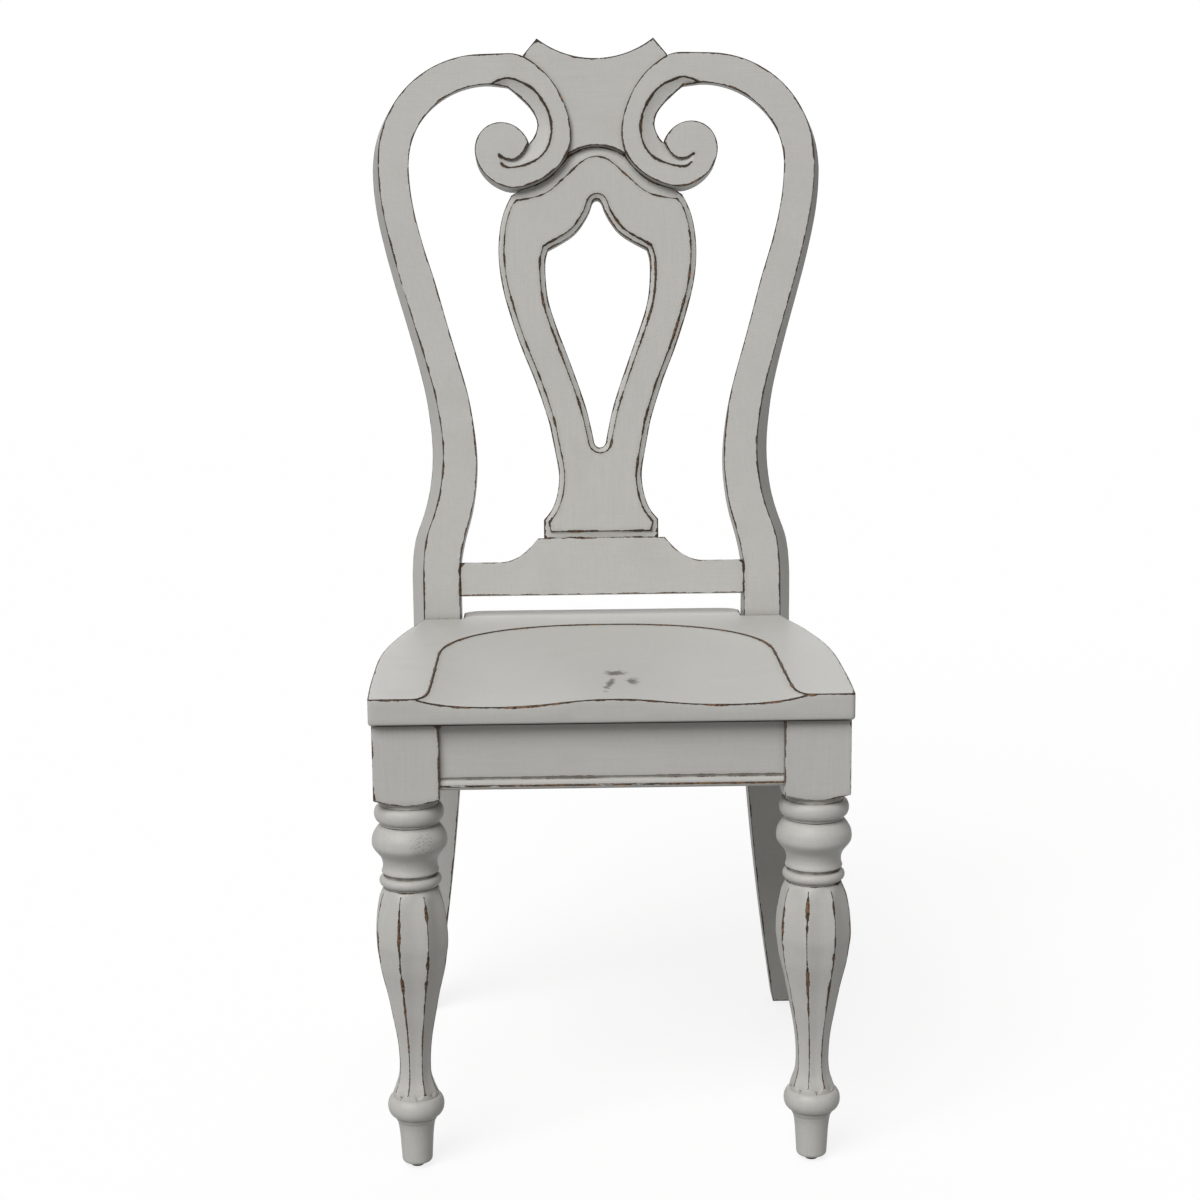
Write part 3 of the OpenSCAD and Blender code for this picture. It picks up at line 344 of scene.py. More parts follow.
        if self.knots:
            colour = self.knotted(graph, place, colour, ragged)
        relief = brushed * 0.40 + cross * 0.25 + fine * 0.25 - worn * 0.7
        return graph.surface(
            {
                "Base Color": colour,
                "Roughness": 0.46 + (brushed - 0.5) * 0.20 + worn * 0.26 + glazed * 0.15,
                "IOR": 1.45,
                "Specular IOR Level": 0.35,
                "Normal": graph.bump(relief, 0.00014),
            }
        )

    @staticmethod
    def part(graph: Graph, place: Socket, axis: str) -> Socket:
        """One of a place's coordinates."""
        return graph.node("ShaderNodeSeparateXYZ", {}, {0: place}, axis)

    @staticmethod
    def away(graph: Graph, place: Socket, middle: Sequence[float]) -> Socket:
        """Distance from a point."""
        return graph.node("ShaderNodeVectorMath", {"operation": "DISTANCE"}, {0: place, 1: middle}, "Value")

    def strength(self, graph: Graph, place: Socket) -> Any:
        """How far the heaviest wear reaches, most of all at a front edge or a leg's belly.

        Args:
            graph: the material's nodes.
            place: the place on the chair.

        Returns:
            The reach in metres, as a number or a socket.
        """
        if self.front_edge is not None:
            behind = self.part(graph, place, "Y") - self.front_edge
            return (1.0 + behind.step(0.006, 0.001) * 0.5) * self.wear
        if self.belly is None:
            return self.wear
        height = self.part(graph, place, "Z")
        below = height.step(self.belly - 0.13, self.belly - 0.02)
        near = below * height.step(self.belly + 0.075, self.belly + 0.03)
        return (0.30 + near * 1.10 + height.step(0.368, 0.376) * 0.55) * self.wear

    def rubbed_edge(self, graph: Graph, place: Socket, patch: Socket, ragged: Socket, fine: Socket) -> Socket:
        """The long bare band along a rail's lower edge.

        Args:
            graph: the material's nodes.
            place: the place on the chair.
            patch: broad noise.
            ragged: smaller noise.
            fine: fine noise.

        Returns:
            1 where the paint is gone.
        """
        above = self.part(graph, place, "Z") - self.low_edge
        streaks = graph.noise(graph.stretched(place, (45.0, 300.0, 700.0)), 1.0, 4.0, 0.65)
        bare = (streaks + (patch - 0.5) * 0.5 + (ragged - 0.5) * 0.25).step(0.37, 0.43)
        level = above + (fine - 0.5) * 0.002
        return level.step(0.0026, 0.0034) * level.step(0.0056, 0.0048) * bare

    def knotted(self, graph: Graph, place: Socket, colour: Socket, crumbs: Socket) -> Socket:
        """Adds the three smudged knots on the seat.

        Args:
            graph: the material's nodes.
            place: the place on the chair.
            colour: the paint so far.
            crumbs: fine noise.

        Returns:
            The colour with the knots.
        """
        smudge: Optional[Socket] = None
        for middle, size, depth, slant in (((0.007, -0.140, 0.47), 0.011, 0.80, 0.0),
                                           ((0.022, -0.189, 0.47), 0.0065, 0.33, 0.0),
                                           ((0.000, -0.205, 0.47), 0.0040, 0.11, 0.13)):
            away = graph.node("ShaderNodeVectorMath", {"operation": "SUBTRACT"}, {0: place, 1: middle})
            inputs = {"Vector": away, "Angle": slant}
            turned = graph.node("ShaderNodeVectorRotate", {"rotation_type": "Z_AXIS"}, inputs)
            flat = graph.stretched(turned, (1.0, depth, 0.0))
            reach = graph.node("ShaderNodeVectorMath", {"operation": "LENGTH"}, {0: flat}, "Value")
            uneven = reach + (graph.noise(place, 130.0, 4.0, 0.65) - 0.5) * size * 3.2
            spot = uneven.step(size * 1.3, size * 0.4)
            smudge = spot if smudge is None else smudge.larger(spot)
        above = self.part(graph, place, "Z").step(0.456, 0.462)
        share = smudge * above * (crumbs + 0.15).step(0.25, 0.65) * 0.85
        return graph.blend(colour, self.umber, share)


@dataclass(frozen=True)
class BareWood:
    """Plain beech, sawn and unpainted, as on the parts that the seat and rails hide."""

    name: str = "bare_beech"
    grain: Grain = Grain.ACROSS
    pale: Colour = (0.560, 0.395, 0.235)
    dark: Colour = (0.370, 0.235, 0.125)

    def material(self) -> bpy.types.Material:
        """Makes the wood's material.

        Returns:
            The material.
        """
        graph = Graph(self.name)
        where = graph.place()
        along = [12.0 if axis else 150.0 for axis in self.grain.value]
        fibres = [30.0 if axis else 900.0 for axis in self.grain.value]
        rings = graph.noise(graph.stretched(where, along), 1.0, 4.0, 0.6)
        flecks = graph.noise(graph.stretched(where, fibres), 1.0, 2.0, 0.5)
        figure = rings.step(0.35, 0.75) * 0.6 + flecks.step(0.55, 0.8) * 0.3
        colour = graph.blend(self.pale, self.dark, figure)
        dirt = graph.noise(where, 30.0).step(0.5, 0.8) * 0.25
        colour = graph.shaded(colour, 1.0 - dirt)
        return graph.surface(
            {
                "Base Color": colour,
                "Roughness": 0.62 + (flecks - 0.5) * 0.2,
                "Normal": graph.bump(rings * 0.5 + flecks * 0.5, 0.00015),
            }
        )


@dataclass(frozen=True)
class Zinc:
    """Zinc-plated steel with a dull, slightly mottled face."""

    name: str = "zinc_steel"
    colour: Colour = (0.560, 0.570, 0.585)
    stained: Colour = (0.40, 0.36, 0.30)

    def material(self) -> bpy.types.Material:
        """Makes the steel's material.

        Returns:
            The material.
        """
        graph = Graph(self.name)
        where = graph.place()
        spangle = graph.noise(where, 900.0, 3.0, 0.6)
        stain = graph.noise(where, 160.0, 3.0, 0.6)
        colour = graph.blend(self.colour, self.stained, stain.step(0.55, 0.8) * 0.6)
        colour = graph.shaded(colour, 0.9 + spangle * 0.2)
        return graph.surface(
            {
                "Base Color": colour,
                "Metallic": 1.0,
                "Roughness": 0.32 + spangle * 0.2,
                "Normal": graph.bump(spangle, 0.00004),
            }
        )


@dataclass(frozen=True)
class GlidePlastic:
    """Hard dark plastic, scuffed where it slides."""

    name: str = "glide_plastic"
    colour: Colour = (0.030, 0.028, 0.026)
    scuffed: Colour = (0.12, 0.11, 0.10)

    def material(self) -> bpy.types.Material:
        """Makes the plastic's material.

        Returns:
            The material.
        """
        graph = Graph(self.name)
        where = graph.place()
        scuff = graph.noise(graph.stretched(where, (900.0, 200.0, 400.0)), 1.0, 4.0, 0.7)
        colour = graph.blend(self.colour, self.scuffed, scuff.step(0.5, 0.8))
        return graph.surface(
            {"Base Color": colour, "Roughness": 0.45 + scuff * 0.25, "Normal": graph.bump(scuff, 0.00006)}
        )


@dataclass
class Lines:
    """Points along a piece's arrises and crevices, which its paint follows."""

    arrises: list[Vector] = field(default_factory=list)
    crevices: list[Vector] = field(default_factory=list)

    def take(self, mesh: bmesh.types.BMesh, convex: float = 24.0, concave: float = 14.0,
             step: float = LINE_STEP) -> None:
        """Adds the points of a mesh's sharp edges.

        Args:
            mesh: the closed mesh.
            convex: smallest bend of an arris, in degrees.
            concave: smallest bend of a crevice, in degrees.
            step: distance between the points.
        """
        for edge in mesh.edges:
            if len(edge.link_faces) != 2:
                continue
            bend = math.degrees(edge.calc_face_angle_signed(0.0))
            if bend > convex:
                self.arrises += self.along(edge, step)
            elif bend < -concave:
                self.crevices += self.along(edge, step)

    def leave_out(self, node: str, reach: float = 0.0009) -> None:
        """Drops the lines that lie against another node.

        Args:
            node: the other node's name.
            reach: how near to it a line lies against it.
        """
        other = node_tree(node)
        self.arrises = [point for point in self.arrises if other.find_nearest(point, reach)[0] is None]
        self.crevices = [point for point in self.crevices if other.find_nearest(point, reach)[0] is None]

    def fade(self, middle: Vector, reach: float) -> None:
        """Drops the lines within reach of a point."""
        self.arrises = [point for point in self.arrises if (point - middle).length > reach]
        self.crevices = [point for point in self.crevices if (point - middle).length > reach]

    @staticmethod
    def along(edge: bmesh.types.BMEdge, step: float) -> list[Vector]:
        """Points along an edge.

        Args:
            edge: the edge.
            step: the longest distance between two points.

        Returns:
            The points, with both ends.
        """
        start, end = (vert.co for vert in edge.verts)
        count = max(1, math.ceil((end - start).length / step))
        return [start.lerp(end, i / count) for i in range(count + 1)]


def eased(radius: float, away: float) -> float:
    """Drop of a quarter round of a radius at a distance from its edge."""
    return radius - math.sqrt(radius ** 2 - (radius - away) ** 2) if away < radius else 0.0


def between(p: float, q: float, r: float, w: float, t: float) -> float:
    """Value a share t of the way from q to r on the smooth curve through p, q, r and w."""
    square = (2 * p - 5 * q + 4 * r - w) * t * t
    return 0.5 * (2 * q + (r - p) * t + square + (3 * q - p - 3 * r + w) * t ** 3)


def curve(points: Sequence[Sequence[float]], steps: int) -> list[tuple[float, ...]]:
    """Points on a smooth curve.

    Args:
        points: the points that it goes through.
        steps: number of steps between neighbours.

    Returns:
        The points on the curve.
    """
    made: list[tuple[float, ...]] = []
    for i in range(len(points) - 1):
        a, b = points[max(i - 1, 0)], points[i]
        c, d = points[i + 1], points[min(i + 2, len(points) - 1)]
        for k in range(steps):
            made.append(tuple(between(*four, k / steps) for four in zip(a, b, c, d)))
    return made + [tuple(points[-1])]


def curve_at(points: Sequence[tuple[float, float]], place: float) -> float:
    """Height of the smooth curve through some points.

    Args:
        points: place and height of each point.
        place: the place at which the height is wanted.

    Returns:
        The height.
    """
    fine = curve(points, 8)
    for (x1, y1), (x2, y2) in zip(fine, fine[1:]):
        if x1 <= place <= x2:
            return y1 + (y2 - y1) * (place - x1) / (x2 - x1)
    return fine[-1][1] if place > fine[-1][0] else fine[0][1]


def merged(node: str) -> bmesh.types.BMesh:
    """A copy of a CAD node's mesh with its loose triangles joined.

    Args:
        node: the node's name.

    Returns:
        The joined mesh.
    """
    mesh = bmesh.new()
    mesh.from_mesh(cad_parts[node].data)
    bmesh.ops.remove_doubles(mesh, verts=mesh.verts, dist=2 * MERGE)
    bmesh.ops.dissolve_degenerate(mesh, edges=mesh.edges, dist=MERGE)
    bmesh.ops.join_triangles(
        mesh,
        faces=mesh.faces,
        cmp_seam=False,
        cmp_sharp=False,
        cmp_uvs=False,
        cmp_vcols=False,
        cmp_materials=False,
        angle_face_threshold=math.radians(9),
        angle_shape_threshold=math.radians(60),
    )
    return mesh


def node_tree(node: str) -> BVHTree:
    """The faces of a CAD node."""
    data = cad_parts[node].data
    corners = [vert.co for vert in data.vertices]
    return BVHTree.FromPolygons(corners, [face.vertices for face in data.polygons])


def nearest(points: Iterable[Vector]) -> Callable[[Vector], float]:
    """Makes a measure of the distance to the nearest of some points.

    Args:
        points: the points.

    Returns:
        A function that gives a place's distance, at most FAR.
    """
    kept = list(points)
    if not kept:
        return lambda place: FAR
    tree = KDTree(len(kept))
    for index, point in enumerate(kept):
        tree.insert(point, index)
    tree.balance()
    return lambda place: min(tree.find(place)[2], FAR)


def other_pieces(own: Sequence[str]) -> BVHTree:
    """A search tree of every CAD node's faces but a piece's own.

    Args:
        own: the nodes that are left out.

    Returns:
        The tree.
    """
    corners: list[Vector] = []
    faces: list[tuple[int, ...]] = []
    for name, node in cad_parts.items():
        if name in own:
            continue
        first = len(corners)
        corners += [vert.co.copy() for vert in node.data.vertices]
        faces += [tuple(first + i for i in face.vertices) for face in node.data.polygons]
    return BVHTree.FromPolygons(corners, faces)


def subdivided(mesh: bmesh.types.BMesh, levels: int, hard: float = 28.0) -> bmesh.types.BMesh:
    """Rounds a mesh's gentle bends by subdivision and keeps its hard edges.

    Args:
        mesh: the mesh, which is freed.
        levels: number of subdivisions.
        hard: smallest bend of an edge that stays, in degrees.

    Returns:
        The finer mesh.
    """
    crease = mesh.edges.layers.float.get("crease_edge") or mesh.edges.layers.float.new("crease_edge")
    for edge in mesh.edges:
        bend = math.degrees(edge.calc_face_angle(0.0)) if len(edge.link_faces) == 2 else 180.0
        edge[crease] = 1.0 if bend > hard else 0.0
    data = bpy.data.meshes.new("shaping")
    mesh.to_mesh(data)
    mesh.free()
    holder = bpy.data.objects.new("shaping", data)
    bpy.context.scene.collection.objects.link(holder)
    modifier = holder.modifiers.new("Subdivision", "SUBSURF")
    modifier.levels = levels
    modifier.render_levels = levels
    modifier.use_limit_surface = False
    finer = bmesh.new()
    finer.from_object(holder, bpy.context.evaluated_depsgraph_get())
    bpy.data.objects.remove(holder)
    bpy.data.meshes.remove(data)
    return finer


def refined(mesh: bmesh.types.BMesh, cell: float, rounds: int = 6) -> None:
    """Splits a mesh's long edges, in place.

    Args:
        mesh: the mesh.
        cell: the longest edge that stays.
        rounds: the most times that an edge is halved.
    """
    for _ in range(rounds):
        long_edges = [edge for edge in mesh.edges if edge.calc_length() > cell]
        if not long_edges:
            break
        bmesh.ops.subdivide_edges(mesh, edges=long_edges, cuts=1, use_grid_fill=True)
    crowded = [face for face in mesh.faces if len(face.verts) > 4]
    bmesh.ops.triangulate(mesh, faces=crowded)
    bmesh.ops.dissolve_degenerate(mesh, edges=mesh.edges, dist=MERGE)


def finished(name: str, mesh: bmesh.types.BMesh, lines: Lines, finish: bpy.types.Material,
             nodes: Sequence[str], joined: Sequence[str] = (), smooth: float = 32.0) -> bpy.types.Object:
    """Makes a piece from its mesh, with its distances, finish and body.

    Args:
        name: the piece's name.
        mesh: its mesh, which is freed.
        lines: its arrises and crevices.
        finish: its finish.
        nodes: the CAD nodes that it stands for.
        joined: other nodes that it meets without a visible line.
        smooth: largest bend that is shaded smooth, in degrees.

    Returns:
        The piece.
    """
    for face in mesh.faces:
        face.smooth = True
    for edge in mesh.edges:
        edge.smooth = len(edge.link_faces) == 2 and edge.calc_face_angle(0.0) < math.radians(smooth)
    data = bpy.data.meshes.new(name)
    mesh.to_mesh(data)
    mesh.free()
    to_arris = nearest(lines.arrises)
    to_crevice = nearest(lines.crevices)
    others = other_pieces([*nodes, *joined])

    def to_other(place: Vector) -> float:
        """Distance to the nearest other piece."""
        hit = others.find_nearest(place, FAR)
        return FAR if hit[3] is None else hit[3]

    for label, measure in (("arris", to_arris), ("crevice", to_crevice), ("contact", to_other)):
        layer = data.attributes.new(label, "FLOAT", "POINT")
        layer.data.foreach_set("value", [measure(vert.co) for vert in data.vertices])
    data.materials.append(finish)
    piece = bpy.data.objects.new(name, data)
    bpy.context.scene.collection.objects.link(piece)
    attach(piece, BODY)
    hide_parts(*nodes)
    log.info("%s: %d faces", name, len(data.polygons))
    return piece


@dataclass
class PaintedPiece:
    """A painted wooden piece with the shape of its CAD node.

    Its gentle curves are made round and its joints are shut. Lines that it shares with the pieces
    that it is joined to or lies against get no paint marks.
    """

    node: str
    paint: Paint
    levels: int = 1
    cell: float = 0.008
    joined: Sequence[str] = ()
    faded: Sequence[tuple[Vector, float]] = ()
    against: Sequence[str] = ()
    touching: float = 0.0006
    shut: float = 0.00015

    def shape(self) -> tuple[bmesh.types.BMesh, Lines]:
        """Shapes the piece.

        Returns:
            Its mesh and the lines that its paint follows.
        """
        mesh = merged(self.node)
        lines = Lines()
        lines.take(mesh)
        for node in self.joined:
            self.close(mesh, node)
        for node in (*self.joined, *self.against):
            lines.leave_out(node)
        for middle, reach in self.faded:
            lines.fade(middle, reach)
        mesh = subdivided(mesh, self.levels)
        refined(mesh, self.cell)
        return mesh, lines

    def close(self, mesh: bmesh.types.BMesh, node: str) -> None:
        """Shuts the joint with another node by moving the faces that lie against it towards it.

        Args:
            mesh: the piece's mesh.
            node: the other node's name.
        """
        other = node_tree(node)
        near = [face for face in mesh.faces
                if all(other.find_nearest(vert.co, self.touching)[0] is not None for vert in face.verts)]
        moves = {vert: face.normal.copy() for face in near for vert in face.verts}
        for vert, way in moves.items():
            vert.co += way * self.shut

    def build(self) -> bpy.types.Object:
        """Makes the piece."""
        mesh, lines = self.shape()
        return finished(f"{self.node}_painted", mesh, lines, self.paint.material(),
                        [self.node], self.joined)


@dataclass
class Back:
    """The leaning back: posts, crest rail, splat and lower rail."""

    rake: float = math.radians(12)
    foot_y: float = 406.5
    posts: Sequence[str] = ("left_back_post", "right_back_post")
    cove_end: tuple[float, float] = (110.5, 516.5)
    cove_fade: float = 0.005

    def build(self) -> None:
        """Makes the back's pieces."""
        upright = Paint("paint_posts", Grain.UPRIGHT, least=0.0009, kept=0.36, bare=-0.06)
        crest = Paint("paint_crest", Grain.ACROSS, self.rake, least=0.0012, kept=0.30, bare=-0.06,
                      shadow=0.08)
        splat = Paint("paint_splat", Grain.UPRIGHT, self.rake, least=0.0009, kept=0.34, bare=-0.06,
                      shadow=0.08)
        rail = Paint("paint_lower_rail", Grain.ACROSS, self.rake, shadow=0.15)
        for node in self.posts:
            PaintedPiece(node, upright, joined=("crest_rail",)).build()
        across, up = self.cove_end
        faded = [(self.at(side * across, up), self.cove_fade) for side in (-1, 1)]
        PaintedPiece("crest_rail", crest, joined=self.posts, faded=faded).build()
        PaintedPiece("splat", splat).build()
        PaintedPiece("lower_back_rail", rail).build()

    def at(self, across: float, up: float) -> Vector:
        """A point on the back's front plane.

        Args:
            across: distance to the right of the middle, in millimetres.
            up: distance up the slope from the seat's top, in millimetres.

        Returns:
            The point, in metres.
        """
        low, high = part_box("seat")
        foot = Vector((0.0, low.y + self.foot_y * MM, high.z))
        return foot + Vector((across, up * math.sin(self.rake), up * math.cos(self.rake))) * MM


@dataclass
class Seat:
    """The scooped seat: its outline narrows to the posts and a tongue runs between them."""

    front_half: float = 229.0
    depth: float = 459.0
    top: float = 479.0
    thickness: float = 26.0
    post_y: float = 411.0
    tongue_half: float = 155.9
    corner_r: float = 20.0
    front_r: float = 4.0
    scoop_depth: float = 10.5
    scoop_half: float = 172.0
    scoop_end: float = 368.0
    deepest: float = 0.555
    end_power: float = 2.3
    rim_share: float = 0.78
    rim_step: float = 0.004
    rim_gap: float = 0.6
    clearance: float = 0.2
    upper_edges: float = 14.0
    mark_reach: float = 18.0
    lower_edges: float = 20.0
    top_ease: float = 1.2
    under_ease: float = 3.0
    cell: float = 0.009
    side: Sequence[tuple[float, float]] = (
        (0.0, 0.0), (0.01, 0.0), (0.146, -0.078), (0.293, -0.119), (0.44, -0.136), (0.573, -0.051),
        (0.695, 0.153), (0.817, 0.441), (0.915, 0.746), (1.0, 1.0),
    )
    post_out: float = 199.5
    front: float = field(default_factory=lambda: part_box("seat")[0].y)

    def notch(self) -> float:
        """Distance behind the front edge at which the seat is cut back for the posts."""
        return self.post_y - self.clearance

    def scoop_middle(self) -> float:
        """Distance behind the front edge at which the scoop is deepest."""
        return self.scoop_end * self.deepest

    def half(self, y: float) -> float:
        """Half width of the seat at a distance behind its front edge."""
        share = curve_at(self.side, y / self.notch())
        return self.front_half + (self.post_out - self.front_half) * share - eased(self.front_r, y)

    def rim(self, y: float) -> float:
        """Half width of the scoop.

        Args:
            y: distance behind the front edge.

        Returns:
            The half width, which is least at the scoop's round rear end.
        """
        middle = self.scoop_middle()
        if y > middle:
            back = min((y - middle) / (self.scoop_end - middle), 1.0)
            return self.scoop_half * max(1.0 - back ** self.end_power, 0.003) ** (1 / self.end_power)
        return self.scoop_half * (1.0 + 0.062 * math.exp(-y / (self.scoop_end * 0.032)))

    def scoop(self, y: float, share: float) -> float:
        """Depth of the scoop.

        Args:
            y: distance behind the front edge.
            share: share of the scoop's half width.

        Returns:
            How far the seat's top lies below its rim.
        """
        if y >= self.scoop_end:
            return 0.0
        middle = self.scoop_middle()
        if y > middle:
            fall = 1.0 - ((y - middle) / (self.scoop_end - middle)) ** 2.6
        else:
            fall = 0.84 + 0.16 * math.sin(math.pi / 2 * y / middle)
        across = 1.0 - share ** (4.5 + 3.0 * math.exp(-y / (self.scoop_end * 0.16)))
        hump = 1.0 - 0.82 * math.exp(-(share / 0.34) ** 2.4) * math.exp(-((y / (self.scoop_end * 0.36)) ** 2))
        return self.scoop_depth * (0.09 + 0.91 * fall * across * hump)

    def stations(self) -> list[float]:
        """Places the seat's rows.

        Returns:
            Their distances behind the front edge, in rising order.
        """
        middle = self.scoop_middle()
        rows = [0.0, 0.5, 1.2, 2.4, 4.0] + [4.0 + (middle - 4.0) * (i / 34) for i in range(1, 35)]
        rows += [middle + (self.scoop_end - middle) * math.sin(math.pi / 2 * i / 40) ** (2 / self.end_power)
                 for i in range(1, 39)]
        rows += [self.scoop_end - 0.25, self.scoop_end + 0.35]
        rows += [self.scoop_end + (self.notch() - self.scoop_end) * i / 6 for i in range(1, 7)]
        return rows

    def columns(self) -> list[float]:
        """Places the seat's columns.

        Returns:
            Their places across from -1 to 1, where the rim lies at rim_share.
        """
        inner = [self.rim_share * math.sin(math.pi / 2 * i / 26) for i in range(27)]
        start = self.rim_share + self.rim_step
        outer = [start + (1.0 - self.rim_share - self.rim_step) * i / 7 for i in range(8)]
        half = inner + outer
        return [-u for u in reversed(half[1:])] + half

    def spot(self, y: float, u: float) -> Vector:
        """Where a row and a column of the seat's top meet.

        Args:
            y: distance behind the front edge, in millimetres.
            u: place across, from -1 to 1.

        Returns:
            The point on the seat's top, in metres.
        """
        rim, half, away = self.rim(y), self.half(y), abs(u)
        if away <= self.rim_share:
            share = away / self.rim_share
            x, drop = rim * share, self.scoop(y, share)
        else:
            out = (away - self.rim_share - self.rim_step) / (1.0 - self.rim_step - self.rim_share)
            x, drop = rim + self.rim_gap + (half - rim - self.rim_gap) * out, 0.0
        return Vector((math.copysign(x, u) * MM, self.front + y * MM, (self.top - drop) * MM))

    def shape(self) -> bmesh.types.BMesh:
        """Shapes the seat.

        Returns:
            Its closed mesh.
        """
        rows, columns = self.stations(), self.columns()
        mesh = bmesh.new()
        bmesh.ops.create_grid(mesh, x_segments=len(columns) - 1, y_segments=len(rows) - 1, size=0.5)
        for vert in mesh.verts:
            column = round((vert.co.x + 0.5) * (len(columns) - 1))
            row = round((vert.co.y + 0.5) * (len(rows) - 1))
            vert.co = self.spot(rows[row], columns[column])
        for side in (-1, 1):
            bmesh.ops.bisect_plane(mesh, geom=mesh.verts[:] + mesh.edges[:] + mesh.faces[:], dist=MERGE,
                                   plane_co=(side * self.tongue_half * MM, 0, 0), plane_no=(1, 0, 0))
        self.extend_tongue(mesh)
        bmesh.ops.remove_doubles(mesh, verts=mesh.verts, dist=MERGE)
        under = bmesh.ops.extrude_face_region(mesh, geom=mesh.faces[:])["geom"]
        for vert in (item for item in under if isinstance(item, bmesh.types.BMVert)):
            vert.co.z = (self.top - self.thickness) * MM
        bmesh.ops.recalc_face_normals(mesh, faces=mesh.faces)
        return mesh

    def extend_tongue(self, mesh: bmesh.types.BMesh) -> None:
        """Extrudes the seat's rear edge between the posts into the tongue with its round corners.

        Args:
            mesh: the seat's top, which gets the tongue.
        """
        start, half = self.notch(), self.tongue_half
        back = self.front + start * MM
        edges = [edge for edge in mesh.edges
                 if all(abs(vert.co.y - back) < 2 * MERGE and abs(vert.co.x) < half * MM + 2 * MERGE
                        for vert in edge.verts)]
        rows = [start + (self.depth - self.corner_r - start) * i / 5 for i in range(1, 6)]
        rows += [self.depth - self.corner_r * (1 - math.sin(math.pi / 2 * i / 8)) for i in range(1, 9)]
        for y in rows:
            made = bmesh.ops.extrude_edge_only(mesh, edges=edges)["geom"]
            edges = [item for item in made if isinstance(item, bmesh.types.BMEdge)]
            verts = list({vert for edge in edges for vert in edge.verts})
            reach = min(half, half + 2.0 - eased(self.corner_r, self.depth - y))
            widest = max(abs(vert.co.x) for vert in verts)
            bmesh.ops.scale(mesh, vec=(reach * MM / widest, 1, 1), verts=verts)
            bmesh.ops.translate(mesh, vec=(0, self.front + y * MM - verts[0].co.y, 0), verts=verts)

    def build(self) -> bpy.types.Object:
        """Makes the seat.

        Returns:
            The piece.
        """
        mesh = self.shape()
        lines = Lines()
        lines.take(mesh, convex=40.0, concave=30.0)
        lines.arrises = [point for point in lines.arrises if point.z > (self.top - self.mark_reach) * MM]
        sharp = [edge for edge in mesh.edges
                 if edge.calc_face_angle_signed(0.0) > math.radians(50)
                 and any(abs(face.normal.z) < 0.3 for face in edge.link_faces)]
        upper, lower = (self.top - self.upper_edges) * MM, (self.top - self.lower_edges) * MM
        high = [edge for edge in sharp if min(vert.co.z for vert in edge.verts) > upper]
        low = [edge for edge in sharp if max(vert.co.z for vert in edge.verts) < lower]
        for edges, width in ((high, self.top_ease), (low, self.under_ease)):
            bmesh.ops.bevel(mesh, geom=edges, offset=width * MM, offset_type="OFFSET", segments=3,
                            profile=0.5, affect="EDGES", clamp_overlap=False, material=-1)
        refined(mesh, self.cell)
        paint = Paint("paint_seat", Grain.ACROSS, wear=0.0009, least=0.0011, kept=0.28, bare=0.04, knots=True,
                      front_edge=self.front)
        return finished("seat_painted", mesh, lines, paint.material(), ["seat"])


@dataclass
class SeatRails:
    """The four rails under the seat, with a bead along the lower edge of three."""

    def build(self) -> None:
        """Makes the rails."""
        across = Paint("paint_rear_rail", Grain.ACROSS)
        along = Paint("paint_side_rails", Grain.DEEP)
        front = Paint("paint_front_rail", Grain.ACROSS, wear=0.0003, least=0.0003, kept=0.50, bare=0.10,
                      low_edge=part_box("front_rail")[0].z)
        for node, paint in (("front_rail", front), ("rear_rail", across), ("left_side_rail", along),
                            ("right_side_rail", along)):
            PaintedPiece(node, paint, against=("left_front_leg", "right_front_leg")).build()


